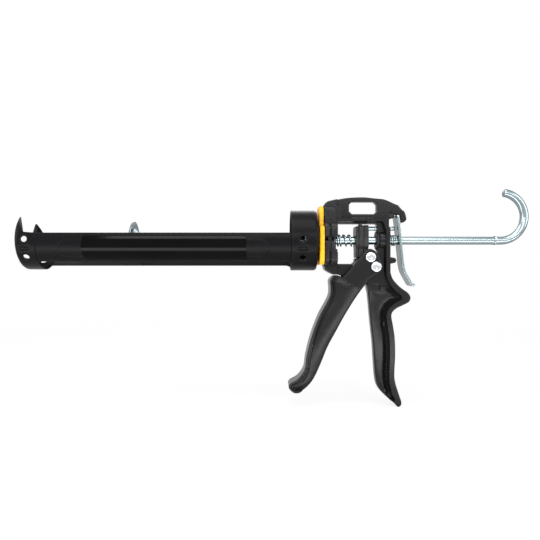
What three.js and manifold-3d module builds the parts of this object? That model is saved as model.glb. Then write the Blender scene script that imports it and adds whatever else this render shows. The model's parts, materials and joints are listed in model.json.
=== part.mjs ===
// Caulking gun for standard sealant cartridges, in millimetres, +Z up, muzzle towards -X.
// The push rod's axis is the X axis of the inner group. The outer group stands on its lowest point.

import * as THREE from 'three';
import { mergeVertices } from 'three/addons/utils/BufferGeometryUtils.js';
import Module from 'manifold-3d';

const wasm = await Module();
wasm.setup();

// Fits, overruns and fineness
const runningGap = 0.3;
const cutOverrun = 3;
const ringSides = 48;
const pinSides = 20;
const curveSteps = 2;
const bevelSteps = 2;
const labelSteps = 6;
const quarterTurn = 90;

// Barrel: front cap, cradle and collar
const barrelRadius = 28;
const barrelWall = 1.2;
const barrelRollAngle = 6.4;
const barrelFront = -234.2;
const capDepth = 18.1;
const capPlate = 1.5;
const capInnerCorner = 2.3;
const pressedCorner = 2.6;
const joggleLength = 5;
const collarRadius = 28.9;
const collarFront = 19.8;
const collarLength = 24.6;
const collarPlate = 1.5;
const tongueLength = 12;
const panelTopAngle = 5.8;
const hornHeight = 19.7;
const hornHalfWidth = 16.1;
const hornFlankLength = 8.6;
const nozzleRadius = 16.2;
const nozzleDrop = 3.9;
const throatHalfWidth = 10.7;
const throatHeight = 8.1;
const bottomHalfWidth = 16.3;
const bottomFront = -218.2;
const bottomCorner = 4.5;
const stakeRadius = 3.05;
const stakeAngles = [-6.3, -44];
const capStakeInset = 8.4;
const collarStakeInset = 10.7;

// Label films
const labelFront = -173.4;
const labelLength = 151.6;
const labelThickness = 0.25;
const labelTopAngle = 0;
const labelBottomAngle = -48;

// Push rod and piston
const rodRadius = 4;
const rodShoulder = -126.7;
const hookStart = 222.5;
const hookRadius = 23.2;
const hookTurn = 170;
const crimpInset = 5.7;
const crimpLength = 2.8;
const crimpReach = 4.9;
const crimpThickness = 4.6;
const studRadius = 2.5;
const backingRadius = 11.4;
const backingThickness = 5.1;
const backingRim = 1.7;
const backingTopRadius = 7.6;
const pistonRadius = 19.4;
const pistonThickness = 1.6;
const pistonDish = 2.1;
const pistonSag = 1;
const nutSeatRadius = 6.1;
const nutSeatDepth = 0.6;
const nutThickness = 3.2;
const nutRadius = 4.6;
const nutSides = 6;
const nutCone = 1;

// Body casting
const bodyFront = 50.9;
const bodyLength = 78.8;
const bodyTop = 41;
const gripDepth = 156.6;
const rimHalfWidth = 10.6;
const archHalfWidth = 4.5;
const webHalfWidth = 5.5;
const gripPanelHalfWidth = 6.8;
const castEdge = 0.9;
const flangeHalfWidth = 22.8;
const flangeBottom = 23.4;
const flangeTop = 16;
const flangeCorner = 6;
const flangeThickness = 4.2;
const flangeGap = 1.6;
const neckHalfWidth = 18.8;
const hubLength = 12.1;
const lugNotchBottom = -1.7;
const lugNotchHeight = 4.6;
const sideBlockHalfWidth = 21.8;
const sideBlockHeight = 9.8;
const sideBlockLength = 9.6;
const coilViewHalfWidth = 6.8;
const headHalfWidth = 13.2;
const headLength = 11.3;
const headHeight = 31.4;
const rimBand = 4.2;
const ribInset = 12.5;
const ribWidth = 5.6;
const ribBottom = 18.8;
const ribTop = 33.2;
const slotChamfer = 2.6;
const bossRadius = 9.6;
const bossInset = 53.7;
const nubReach = 5.5;
const nubCentre = -19.4;
const nubHalfHeight = 2.6;

// Outline points of the casting, as shares of bodyLength and of bodyTop or gripDepth
const archTopShares = [
  [0, 0.805], [0.039, 0.885], [0.105, 0.925], [0.265, 0.987], [0.387, 1.006], [0.509, 1.008], [0.63, 0.984],
  [0.751, 0.956], [0.873, 0.853], [0.913, 0.823], [0.958, 0.725], [0.996, 0.66], [1.0165, 0.52],
  [1.012, 0.47], [0.985, 0.425], [0.957, 0.413], [0.935, 0.44], [0.93, 0.478],
];
const notchShares = [[0.93, 0.6], [0.868, 0.6], [0.868, 0.527], [0.806, 0.498]];
const gripRearShares = [
  [0.806, 0.198], [0.831, 0.234], [0.885, 0.268], [0.945, 0.295], [1.013, 0.319], [1.046, 0.346],
  [1.03, 0.374], [0.962, 0.394], [0.868, 0.418], [0.817, 0.454], [0.838, 0.527], [0.857, 0.598],
  [0.862, 0.702], [0.852, 0.807], [0.862, 0.862], [0.911, 0.9425], [0.936, 0.981], [0.928, 1.003],
  [0.893, 1.0115], [0.852, 0.99],
];
const gripFrontShares = [
  [0.742, 0.945], [0.6625, 0.895], [0.634, 0.832], [0.621, 0.75], [0.604, 0.62], [0.576, 0.488],
  [0.553, 0.355], [0.533, 0.285], [0.518, 0.268],
];
const undersideShares = [[0.192, -0.806], [0.128, -0.802], [0.075, -0.76], [0.019, -0.695], [0, -0.584]];
const rimInnerShares = [
  [0.745, 0.198], [0.76, 0.233], [0.801, 0.278], [0.858, 0.31], [0.92, 0.337], [0.935, 0.348],
  [0.925, 0.36], [0.86, 0.378], [0.788, 0.409], [0.748, 0.452], [0.761, 0.527], [0.783, 0.598],
  [0.789, 0.702], [0.781, 0.807], [0.788, 0.877], [0.826, 0.941], [0.853, 0.972],
];
const windowShares = [
  [0.171, 0.385], [0.661, 0.385], [0.661, -0.293], [0.53, -0.293], [0.53, -0.42], [0.383, -0.42],
  [0.383, -0.49], [0.352, -0.55], [0.171, -0.55],
];
const hangSlotShares = [[0.318, 0.615], [0.653, 0.9]];
const rimTopShares = [[0.171, 0.524], [0.591, 0.524], [0.699, 0.48], [0.764, 0.4], [0.796, 0.298]];
const stepShares = { front: -0.993, rear: -1.085 };

// Trigger, its rivets and the way it turns
const pivotShares = [0.632, -0.622];
const crankRadius = 10.55;
const crankAngle = 120;
const triggerTravel = 22;
const triggerReach = 144;
const triggerWallOuter = 9.9;
const triggerSlotHalfWidth = 7.4;
const triggerRimHalfWidth = 12;
const triggerRimEdge = 1.6;
const cheekHalfWidth = 11.2;
const rivetRadius = 2.6;
const rivetHeadRadius = 4.75;
const rivetHeadThickness = 1.4;
const rivetHeadDome = 0.5;
const pivotBossRadius = 6.2;
const crankSlotSwing = 20;

// Outline points of the trigger, from the pivot, as shares of triggerReach
const triggerShares = [
  [-0.219, -0.066], [-0.256, -0.0557], [-0.284, -0.062], [-0.304, -0.091], [-0.301, -0.14],
  [-0.305, -0.186], [-0.327, -0.236], [-0.37, -0.314], [-0.411, -0.415], [-0.44, -0.507],
  [-0.461, -0.599], [-0.474, -0.678], [-0.513, -0.735], [-0.562, -0.765], [-0.577, -0.79],
  [-0.562, -0.816], [-0.535, -0.832], [-0.499, -0.826], [-0.441, -0.778], [-0.402, -0.721],
  [-0.36, -0.628], [-0.319, -0.528], [-0.265, -0.428], [-0.21, -0.328], [-0.141, -0.215],
  [-0.08, -0.129], [-0.056, -0.09],
];
const cheekShares = [
  [-0.056, -0.09], [0.018, -0.04], [0.039, -0.018], [0.043, 0.01], [0.035, 0.036], [0.002, 0.094],
  [-0.022, 0.114], [-0.048, 0.119], [-0.072, 0.107], [-0.176, -0.018],
];
const cheekRootShares = [[-0.219, -0.069], [-0.184, -0.1], [-0.125, -0.13], [-0.08, -0.129]];
const triggerRimShares = [
  [-0.488, -0.79], [-0.446, -0.7], [-0.41, -0.6], [-0.387, -0.51], [-0.355, -0.42], [-0.317, -0.33],
  [-0.279, -0.26], [-0.254, -0.2], [-0.249, -0.14], [-0.249, -0.1], [-0.229, -0.074],
];
const triggerSlotShares = [
  [-0.228, -0.061], [-0.238, -0.142], [-0.253, -0.198], [-0.293, -0.281], [-0.335, -0.378],
  [-0.373, -0.483], [-0.401, -0.587], [-0.429, -0.663], [-0.451, -0.705], [-0.411, -0.69],
  [-0.272, -0.517], [-0.133, -0.281], [0, -0.115], [0.08, -0.03], [0.08, 0.16], [-0.11, 0.16],
  [-0.259, -0.031],
];

// Hub: sleeve, nut, washers and retainer plate
const sleeveRadius = 11;
const sleeveBore = 4.5;
const sleeveFront = 33.6;
const sleeveSeat = 9.7;
const hubNutAcross = 15.5;
const hubNutThickness = 6.4;
const hubWasherRadius = 17;
const hubWasherThickness = 1.2;
const swivelWasherRadius = 20;
const swivelWasherThickness = 1.2;
const plateThickness = 4.4;
const plateHalfWidth = 23.2;
const plateBottom = 23.7;
const plateShoulder = 9;
const plateTabHalfWidth = 13.5;
const plateTabTop = 32.2;
const plateTabRadius = 4;
const plateNeckHeight = 16.5;
const plateCorner = 6.5;
const plateEdge = 0.7;

// Drive head, springs and anti-drip pin
const driveFront = 81.7;
const driveGap = 0.3;
const thrustThickness = 2.6;
const gripThickness = 4.6;
const rearGripThickness = 4.4;
const driveHalfWidth = 9.2;
const driveShoulder = -8.5;
const driveLegHalfWidth = 6.5;
const driveLegBottom = 16.7;
const thrustTop = 13.2;
const gripTop = 14.2;
const rearGripTop = 14.4;
const driveCorner = 3;
const nubWidth = 3.4;
const nubHeight = 1.1;
const driveBore = 4.35;
const springCoilRadius = 5.35;
const springWire = 1.6;
const springOpenTurns = 2.5;
const springClosedTurns = 1.5;
const brakeCoilRadius = 5;
const brakeWire = 1.2;
const brakeOpenTurns = 1;
const brakeClosedTurns = 1.5;
const closedCoilGap = 0.5;
const turnSteps = 8;
const wireSides = 5;
const seatRadius = 8.4;
const seatThickness = 1.2;
const dripPinRadius = 2;
const dripPinHeight = 11.5;
const dripPinReach = 120.4;
const guideRadius = 6;
const guideFlangeRadius = 9;
const guideFlangeThickness = 2.4;

// Release lever
const leverThickness = 2.4;
const leverHalfWidth = 9.5;
const leverHeight = 67.4;
const leverTopX = 121.5;
const leverTopZ = 24.1;
const leverBore = 4.9;
const leverShares = [
  [0, 0], [0.019, -0.142], [0.033, -0.282], [0.046, -0.423], [0.061, -0.564], [0.076, -0.705],
  [0.1, -0.803], [0.143, -0.887], [0.174, -0.94], [0.199, -0.984], [0.224, -0.996], [0.239, -0.975],
];

// Places worked out from the sizes above
const collarBack = collarFront + collarLength;
const innerRadius = barrelRadius - barrelWall;
const tongueRadius = innerRadius - runningGap;
const plateFront = bodyFront - runningGap - plateThickness;
const wallRear = bodyX(gripRearShares[0][0]);
const wallFront = bodyX(rimInnerShares[0][0]);
const hubBack = bodyX(windowShares[0][0]);
const bossFront = bodyFront + bossInset;
const gripTip = gripDepth * Math.max(...gripRearShares.map(([, z]) => z));
const collarInner = collarRadius - barrelWall;
const rearTongueRadius = collarInner - runningGap;
const pivotX = bodyX(pivotShares[0]);
const pivotZ = pivotShares[1] * bodyTop;
const driveX = pivotX + crankRadius * Math.cos(radians(crankAngle));
const driveZ = pivotZ + crankRadius * Math.sin(radians(crankAngle));
const headRear = driveX - rivetRadius - runningGap;
const seatFront = bodyFront + sleeveSeat + runningGap;
const springFront = seatFront + seatThickness + runningGap;

// Materials
const paint = new THREE.MeshStandardMaterial({ color: 0x1b1b1d, roughness: 0.45, metalness: 0.1 });
const casting = new THREE.MeshStandardMaterial({ color: 0x26262a, roughness: 0.4, metalness: 0.1 });
const film = new THREE.MeshStandardMaterial({ color: 0x0c0c0e, roughness: 0.15, metalness: 0 });
const zinc = new THREE.MeshStandardMaterial({ color: 0xb9c2c6, roughness: 0.3, metalness: 0.9 });
const bright = new THREE.MeshStandardMaterial({ color: 0xe6e8ea, roughness: 0.2, metalness: 1 });
const yellow = new THREE.MeshStandardMaterial({ color: 0xf5a800, roughness: 0.3, metalness: 0 });
const plastic = new THREE.MeshStandardMaterial({ color: 0x151515, roughness: 0.6, metalness: 0 });

function radians(degrees) {
  return THREE.MathUtils.degToRad(degrees);
}

function bodyX(share) {
  return bodyFront + share * bodyLength;
}

function archPoint([x, z]) {
  return new THREE.Vector2(bodyX(x), z * bodyTop);
}

function gripPoint([x, z]) {
  return new THREE.Vector2(bodyX(x), -z * gripDepth);
}

function triggerPoint([x, z]) {
  return new THREE.Vector2(pivotX + x * triggerReach, pivotZ + z * triggerReach);
}

// Geometry helpers

// Winding is turned over where the signed volume is negative, and flat slivers on an axis are dropped.
function solid(geometry) {
  const bare = geometry.clone();
  bare.deleteAttribute('normal');
  bare.deleteAttribute('uv');
  const merged = mergeVertices(bare);
  const position = merged.getAttribute('position').array;
  const index = merged.index.array;
  const triangles = [];
  const a = new THREE.Vector3();
  const b = new THREE.Vector3();
  const c = new THREE.Vector3();
  let volume = 0;
  for (let i = 0; i < index.length; i += 3) {
    const [p, q, r] = [index[i], index[i + 1], index[i + 2]];
    if (p === q || q === r || r === p) continue;
    triangles.push(p, q, r);
    volume += a.fromArray(position, 3 * p).dot(b.fromArray(position, 3 * q).cross(c.fromArray(position, 3 * r)));
  }
  if (volume < 0) triangles.reverse();
  return new wasm.Manifold(new wasm.Mesh({
    numProp: 3,
    vertProperties: Float32Array.from(position),
    triVerts: Uint32Array.from(triangles),
  }));
}

function join(...solids) {
  return solids.reduce((whole, next) => whole.add(next));
}

function cut(whole, ...tools) {
  return tools.reduce((rest, tool) => rest.subtract(tool), whole);
}

function surface(manifold) {
  const mesh = manifold.getMesh();
  const geometry = new THREE.BufferGeometry();
  const places = [];
  for (let i = 0; i < mesh.numVert; i += 1) places.push(...mesh.position(i));
  geometry.setAttribute('position', new THREE.Float32BufferAttribute(places, 3));
  geometry.setIndex(Array.from(mesh.triVerts));
  geometry.computeVertexNormals();
  return geometry;
}

function polygon(points) {
  return new THREE.Shape(points.map(([x, y]) => new THREE.Vector2(x, y)));
}

// A shape drawn in X and Z, extruded across Y from one side to the other.
function across(shape, sideA, sideB, edge = 0) {
  const geometry = new THREE.ExtrudeGeometry(shape, {
    depth: sideB - sideA - edge - edge,
    bevelEnabled: edge > 0,
    bevelThickness: edge,
    bevelSize: edge,
    bevelOffset: -edge,
    bevelSegments: bevelSteps,
    curveSegments: curveSteps,
  });
  geometry.rotateX(radians(quarterTurn));
  geometry.translate(0, sideB - edge, 0);
  return solid(geometry);
}

// A shape drawn in Y and Z, extruded along X.
function alongX(shape, from, to, edge = 0, steps = curveSteps) {
  const geometry = new THREE.ExtrudeGeometry(shape, {
    depth: to - from - edge - edge,
    bevelEnabled: edge > 0,
    bevelThickness: edge,
    bevelSize: edge,
    bevelOffset: -edge,
    bevelSegments: bevelSteps,
    curveSegments: steps,
  });
  const axes = new THREE.Matrix4().makeBasis(
    new THREE.Vector3(0, 1, 0),
    new THREE.Vector3(0, 0, 1),
    new THREE.Vector3(1, 0, 0),
  );
  geometry.applyMatrix4(axes);
  geometry.translate(from + edge, 0, 0);
  return solid(geometry);
}

// A profile of [place along X, radius] pairs turned about the X axis.
function turned(profile, sides = ringSides) {
  const points = profile.map(([x, r]) => new THREE.Vector2(r, x));
  const geometry = new THREE.LatheGeometry(points, sides);
  geometry.rotateZ(-radians(quarterTurn));
  return solid(geometry);
}

function disc(from, to, radius, sides = ringSides) {
  return turned([[from, 0], [from, radius], [to, radius], [to, 0]], sides);
}

function ring(from, to, outer, inner, sides = ringSides) {
  return turned([[from, inner], [from, outer], [to, outer], [to, inner], [from, inner]], sides);
}

function box(low, high) {
  const size = high.map((value, i) => value - low[i]);
  const geometry = new THREE.BoxGeometry(...size);
  geometry.translate(...low.map((value, i) => value + size[i] / 2));
  return solid(geometry);
}

// A pin across Y at one place in X and Z.
function crossPin(x, z, halfLength, radius, sides = pinSides) {
  const geometry = new THREE.CylinderGeometry(radius, radius, halfLength + halfLength, sides);
  geometry.translate(x, 0, z);
  return solid(geometry);
}

// A quarter round between two points of a turned profile, from the face to the rim.
function roundedCorner(faceX, rimRadius, corner, towards) {
  const steps = bevelSteps + 1;
  return Array.from({ length: steps + 1 }, (_, i) => {
    const angle = radians(quarterTurn) * (i / steps);
    return [faceX + towards * corner * (1 - Math.sin(angle)), rimRadius - corner * (1 - Math.cos(angle))];
  });
}

function roundedBox(halfWidth, bottom, top, corner) {
  const shape = new THREE.Shape();
  shape.moveTo(-halfWidth + corner, bottom);
  shape.lineTo(halfWidth - corner, bottom);
  shape.absarc(halfWidth - corner, bottom + corner, corner, -Math.PI / 2, 0);
  shape.lineTo(halfWidth, top - corner);
  shape.absarc(halfWidth - corner, top - corner, corner, 0, Math.PI / 2);
  shape.lineTo(-halfWidth + corner, top);
  shape.absarc(-halfWidth + corner, top - corner, corner, Math.PI / 2, Math.PI);
  shape.lineTo(-halfWidth, bottom + corner);
  shape.absarc(-halfWidth + corner, bottom + corner, corner, Math.PI, Math.PI + Math.PI / 2);
  return shape;
}

// Barrel

// Places round the barrel: 0 degrees is level, on the near side (-Y) or on the far side (+Y).
function stakeHoles(x) {
  const tools = [];
  for (const level of stakeAngles) {
    for (const angle of [level, 2 * quarterTurn - level]) {
      const geometry = new THREE.CylinderGeometry(stakeRadius, stakeRadius, barrelRadius, pinSides);
      geometry.translate(0, barrelRadius, 0);
      geometry.rotateX(radians(angle));
      geometry.translate(x, 0, 0);
      tools.push(solid(geometry));
    }
  }
  return tools;
}

function bottomOpening() {
  const shape = new THREE.Shape();
  const rear = collarFront - runningGap;
  const wide = bottomHalfWidth;
  const c = bottomCorner;
  shape.moveTo(bottomFront + c, -wide);
  shape.lineTo(rear - c, -wide);
  shape.absarc(rear - c, -wide + c, c, -Math.PI / 2, 0);
  shape.lineTo(rear, wide - c);
  shape.absarc(rear - c, wide - c, c, 0, Math.PI / 2);
  shape.lineTo(bottomFront + c, wide);
  shape.absarc(bottomFront + c, wide - c, c, Math.PI / 2, Math.PI);
  shape.lineTo(bottomFront, -wide + c);
  shape.absarc(bottomFront + c, -wide + c, c, Math.PI, Math.PI + Math.PI / 2);
  const geometry = new THREE.ExtrudeGeometry(shape, {
    depth: barrelRadius + cutOverrun,
    bevelEnabled: false,
    curveSegments: curveSteps * bevelSteps,
  });
  geometry.translate(0, 0, -barrelRadius - cutOverrun);
  return solid(geometry);
}

function panelTop() {
  return barrelRadius * Math.sin(radians(panelTopAngle));
}

function makeFrontCap() {
  const back = barrelFront + capDepth;
  const cup = turned([
    [barrelFront, 0],
    ...roundedCorner(barrelFront, barrelRadius, pressedCorner, 1).reverse(),
    [back, barrelRadius],
    [back, innerRadius],
    [barrelFront + capPlate + capInnerCorner, innerRadius],
    [barrelFront + capPlate, innerRadius - capInnerCorner],
    [barrelFront + capPlate, 0],
  ]);
  const above = barrelRadius + cutOverrun;
  const flank = across(polygon([
    [barrelFront, hornHeight],
    [barrelFront + hornFlankLength, panelTop()],
    [back + cutOverrun, panelTop()],
    [back + cutOverrun, above],
    [barrelFront, above],
  ]), -above, above);
  const slope = (hornHeight - throatHeight) / (hornHalfWidth - throatHalfWidth);
  const mouthHalfWidth = throatHalfWidth + (above - throatHeight) / slope;
  const keyhole = new THREE.Shape();
  keyhole.absarc(0, -nozzleDrop, nozzleRadius, 0, 2 * Math.PI);
  const nozzleBack = barrelFront + capPlate + cutOverrun;
  const nozzle = alongX(keyhole, barrelFront - cutOverrun, nozzleBack, 0, ringSides / 2);
  const lead = alongX(polygon([
    [-throatHalfWidth, 0],
    [throatHalfWidth, 0],
    [throatHalfWidth, throatHeight],
    [mouthHalfWidth, above],
    [-mouthHalfWidth, above],
    [-throatHalfWidth, throatHeight],
  ]), barrelFront - cutOverrun, barrelFront + pressedCorner + cutOverrun);
  return cut(cup, flank, nozzle, lead, ...stakeHoles(barrelFront + capStakeInset));
}

function makeCradle() {
  const start = barrelFront + capPlate + capInnerCorner + runningGap;
  const rise = barrelFront + capDepth + runningGap;
  const fall = collarFront - runningGap;
  const end = collarFront + tongueLength;
  const outer = [
    [start, tongueRadius],
    [rise, tongueRadius],
    [rise + joggleLength, barrelRadius],
    [fall - joggleLength, barrelRadius],
    [fall, rearTongueRadius],
    [end, rearTongueRadius],
  ];
  const inner = outer.map(([x, r]) => [x, r - barrelWall]).reverse();
  const tube = turned([...outer, ...inner, outer[0]]);
  const above = barrelRadius + cutOverrun;
  const open = box([start - cutOverrun, -above, panelTop()], [end + cutOverrun, above, above]);
  return cut(
    tube,
    open,
    bottomOpening(),
    ...stakeHoles(barrelFront + capStakeInset),
    ...stakeHoles(collarFront + collarStakeInset),
  );
}

function makeCollar() {
  const bore = sleeveRadius + runningGap;
  const rim = roundedCorner(collarBack, collarRadius, pressedCorner, -1);
  const cup = turned([
    [collarFront, collarInner],
    [collarFront, collarRadius],
    ...rim,
    [collarBack, bore],
    [collarBack - collarPlate, bore],
    [collarBack - collarPlate, collarInner],
    [collarFront, collarInner],
  ]);
  return cut(cup, ...stakeHoles(collarFront + collarStakeInset));
}

function makeLabel(side) {
  const inner = barrelRadius + runningGap / 2;
  const outer = inner + labelThickness;
  const shape = new THREE.Shape();
  const start = side > 0 ? radians(labelBottomAngle) : Math.PI - radians(labelTopAngle);
  const end = side > 0 ? radians(labelTopAngle) : Math.PI - radians(labelBottomAngle);
  shape.absarc(0, 0, outer, start, end, false);
  shape.absarc(0, 0, inner, end, start, true);
  return alongX(shape, labelFront, labelFront + labelLength, 0, labelSteps);
}

// Push rod and piston

function makePushRod() {
  const tail = hookStart + crimpLength;
  const shaft = disc(rodShoulder, tail, rodRadius, pinSides);
  const stud = disc(nutFront() - nutCone, rodShoulder + rodRadius, studRadius, pinSides);
  const circle = new THREE.Shape();
  circle.absarc(0, 0, rodRadius, 0, 2 * Math.PI);
  const bend = new THREE.CurvePath();
  const points = Array.from({ length: ringSides / 2 + 1 }, (_, i) => {
    const angle = radians(hookTurn) * (i / (ringSides / 2));
    const x = hookStart + hookRadius * Math.sin(angle);
    return new THREE.Vector3(x, 0, hookRadius * (1 - Math.cos(angle)));
  });
  bend.add(new THREE.CatmullRomCurve3(points));
  const hook = solid(new THREE.ExtrudeGeometry(circle, {
    steps: ringSides / 2,
    extrudePath: bend,
    curveSegments: pinSides / 2,
  }));
  const crimpX = hookStart - crimpInset;
  const crimp = box(
    [crimpX - crimpLength / 2, -crimpThickness / 2, -crimpReach],
    [crimpX + crimpLength / 2, crimpThickness / 2, crimpReach],
  );
  return join(shaft, stud, hook, crimp);
}

function backingFront() {
  return rodShoulder - runningGap - backingThickness;
}

function pistonFront() {
  return backingFront() - runningGap - pistonThickness;
}

function nutFront() {
  return pistonFront() + nutSeatDepth - runningGap - nutThickness;
}

function makePistonBacking() {
  const front = backingFront();
  const back = front + backingThickness;
  const bore = studRadius + runningGap;
  return turned([
    [front, bore],
    [front, backingRadius],
    [front + backingRim, backingRadius],
    [back, backingTopRadius],
    [back, bore],
    [front, bore],
  ]);
}

// A dished disc: a sunk seat for the nut, flat round it, its rim turned back towards the handle.
function makePistonDisc() {
  const bore = studRadius + runningGap + pistonSag;
  const flat = backingRadius + pistonThickness + pistonSag;
  const front = pistonFront();
  return turned([
    [front + nutSeatDepth, bore],
    [front + nutSeatDepth, nutSeatRadius],
    [front, nutSeatRadius + nutSeatDepth],
    [front, flat],
    [front + pistonDish, pistonRadius - pistonThickness / 2],
    [front + pistonDish + pistonThickness, pistonRadius],
    [front + pistonDish + pistonThickness, pistonRadius - pistonThickness],
    [front + pistonThickness, flat],
    [front + pistonThickness, bore],
    [front + nutSeatDepth, bore],
  ]);
}

function makePistonNut() {
  const front = nutFront();
  const hex = turned([
    [front, 0],
    [front, nutRadius - nutCone],
    [front + nutCone, nutRadius],
    [front + nutThickness, nutRadius],
    [front + nutThickness, 0],
  ], nutSides);
  return cut(hex, disc(front - cutOverrun, rodShoulder, studRadius + runningGap, pinSides));
}

// Hub

function makeHubSleeve() {
  const end = bodyFront + sleeveSeat;
  return ring(sleeveFront, end, sleeveRadius, sleeveBore);
}

function makeHubWasher() {
  const back = collarBack - collarPlate - runningGap;
  return ring(back - hubWasherThickness, back, hubWasherRadius, sleeveRadius + runningGap);
}

function makeHubNut() {
  const back = collarBack - collarPlate - runningGap - hubWasherThickness - runningGap;
  const front = back - hubNutThickness;
  const across60 = hubNutAcross / Math.cos(Math.PI / nutSides);
  const hex = disc(front, back, across60, nutSides);
  const hole = disc(front - cutOverrun, back + cutOverrun, sleeveRadius + runningGap);
  const chamfer = turned([
    [front, 0],
    [front, hubNutAcross - nutCone],
    [front + nutCone + nutCone, across60],
    [back + cutOverrun, across60],
    [back + cutOverrun, 0],
  ]);
  return cut(hex.intersect(chamfer), hole);
}

function makeSwivelWasher() {
  const front = collarBack + runningGap;
  return ring(front, front + swivelWasherThickness, swivelWasherRadius, sleeveRadius + runningGap);
}

function plateOutline() {
  const shape = new THREE.Shape();
  const wide = plateHalfWidth;
  const c = plateCorner;
  const tab = plateTabHalfWidth;
  const t = plateTabRadius;
  shape.moveTo(-wide + c, -plateBottom);
  shape.lineTo(wide - c, -plateBottom);
  shape.absarc(wide - c, -plateBottom + c, c, -Math.PI / 2, 0);
  shape.lineTo(wide, plateShoulder);
  shape.bezierCurveTo(wide, plateNeckHeight, tab, plateShoulder, tab, plateNeckHeight + t);
  shape.lineTo(tab, plateTabTop - t);
  shape.absarc(tab - t, plateTabTop - t, t, 0, Math.PI / 2);
  shape.lineTo(-tab + t, plateTabTop);
  shape.absarc(-tab + t, plateTabTop - t, t, Math.PI / 2, Math.PI);
  shape.lineTo(-tab, plateNeckHeight + t);
  shape.bezierCurveTo(-tab, plateShoulder, -wide, plateNeckHeight, -wide, plateShoulder);
  shape.lineTo(-wide, -plateBottom + c);
  shape.absarc(-wide + c, -plateBottom + c, c, Math.PI, Math.PI + Math.PI / 2);
  return shape;
}

function makeRetainerPlate() {
  const whole = alongX(plateOutline(), plateFront, plateFront + plateThickness, plateEdge);
  const hole = sleeveRadius + runningGap;
  return cut(whole, disc(plateFront - cutOverrun, bodyFront, hole));
}

// Body casting

function bodyOutline() {
  const shape = new THREE.Shape();
  const top = archTopShares.map(archPoint);
  shape.moveTo(top[0].x, top[0].y);
  shape.splineThru(top.slice(1));
  notchShares.map(archPoint).forEach((p) => shape.lineTo(p.x, p.y));
  shape.lineTo(wallRear, nubCentre + nubHalfHeight);
  shape.lineTo(wallRear + nubReach - nubHalfHeight, nubCentre + nubHalfHeight);
  shape.absarc(wallRear + nubReach - nubHalfHeight, nubCentre, nubHalfHeight, Math.PI / 2, -Math.PI / 2, true);
  shape.lineTo(wallRear, nubCentre - nubHalfHeight);
  const rear = gripRearShares.map(gripPoint);
  shape.lineTo(rear[0].x, rear[0].y);
  shape.splineThru(rear.slice(1));
  shape.splineThru(gripFrontShares.map(gripPoint));
  undersideShares.map(archPoint).forEach((p) => shape.lineTo(p.x, p.y));
  return shape;
}

// The outline of the recess that leaves the grip's panel or the web thinner than the rim.
function recessOutline(topLeft, lowFront) {
  const shape = new THREE.Shape();
  const inner = rimInnerShares.map(gripPoint);
  shape.moveTo(inner[0].x, topLeft.y);
  shape.lineTo(inner[0].x, inner[0].y);
  shape.splineThru(inner.slice(1));
  shape.lineTo(lowFront.x, lowFront.y);
  shape.lineTo(topLeft.x, topLeft.y);
  return shape;
}

function bothSides(shape, halfWidth) {
  const far = rimHalfWidth + flangeHalfWidth;
  return [across(shape, halfWidth, far), across(shape, -far, -halfWidth)];
}

function hubSolids() {
  const first = roundedBox(flangeHalfWidth, -flangeBottom, flangeTop, flangeCorner);
  const neck = roundedBox(neckHalfWidth, -flangeBottom + flangeGap, flangeTop - flangeGap, flangeCorner);
  const second = bodyFront + flangeThickness + flangeGap;
  const third = bodyFront + hubLength;
  const lugs = join(
    alongX(first, bodyFront, bodyFront + flangeThickness, castEdge),
    alongX(neck, bodyFront, third),
    alongX(first, second, third, castEdge),
  );
  const notchFar = flangeHalfWidth + cutOverrun;
  const notchTop = lugNotchBottom + lugNotchHeight;
  const deep = neckHalfWidth;
  const notches = [
    box([bodyFront - cutOverrun, deep, lugNotchBottom], [hubBack, notchFar, notchTop]),
    box([bodyFront - cutOverrun, -notchFar, lugNotchBottom], [hubBack, -deep, notchTop]),
  ];
  const block = box(
    [bodyFront, -sideBlockHalfWidth, lugNotchBottom - sideBlockHeight],
    [bodyFront + sideBlockLength, sideBlockHalfWidth, lugNotchBottom],
  );
  const head = box([bodyFront, -headHalfWidth, 0], [bodyFront + headLength, headHalfWidth, headHeight]);
  return join(cut(lugs, ...notches), block, head);
}

// The hub is cut away on both sides of the spring's first coil, behind the side block.
function coilViews() {
  const front = bodyFront + sideBlockLength;
  const low = lugNotchBottom - sideBlockHeight;
  const high = lugNotchBottom + lugNotchHeight;
  const far = flangeHalfWidth + cutOverrun;
  return [
    box([front, coilViewHalfWidth, low], [hubBack + cutOverrun, far, high]),
    box([front, -far, low], [hubBack + cutOverrun, -coilViewHalfWidth, high]),
  ];
}

function hangSlot() {
  const [low, high] = hangSlotShares.map(archPoint);
  const c = slotChamfer;
  return polygon([
    [low.x + c, low.y], [high.x - c, low.y], [high.x, low.y + c], [high.x, high.y - c],
    [high.x - c, high.y], [low.x + c, high.y], [low.x, high.y - c], [low.x, low.y + c],
  ]);
}

// The slot in the web that the drive rivet swings in, as a sector round the pivot.
function crankSlot() {
  const shape = new THREE.Shape();
  const inner = crankRadius - rivetRadius - runningGap;
  const outer = crankRadius + rivetRadius + runningGap;
  const from = radians(crankAngle - crankSlotSwing);
  const to = radians(crankAngle + triggerTravel + crankSlotSwing);
  shape.absarc(pivotX, pivotZ, outer, from, to, false);
  shape.absarc(pivotX, pivotZ, inner, to, from, true);
  return shape;
}

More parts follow.
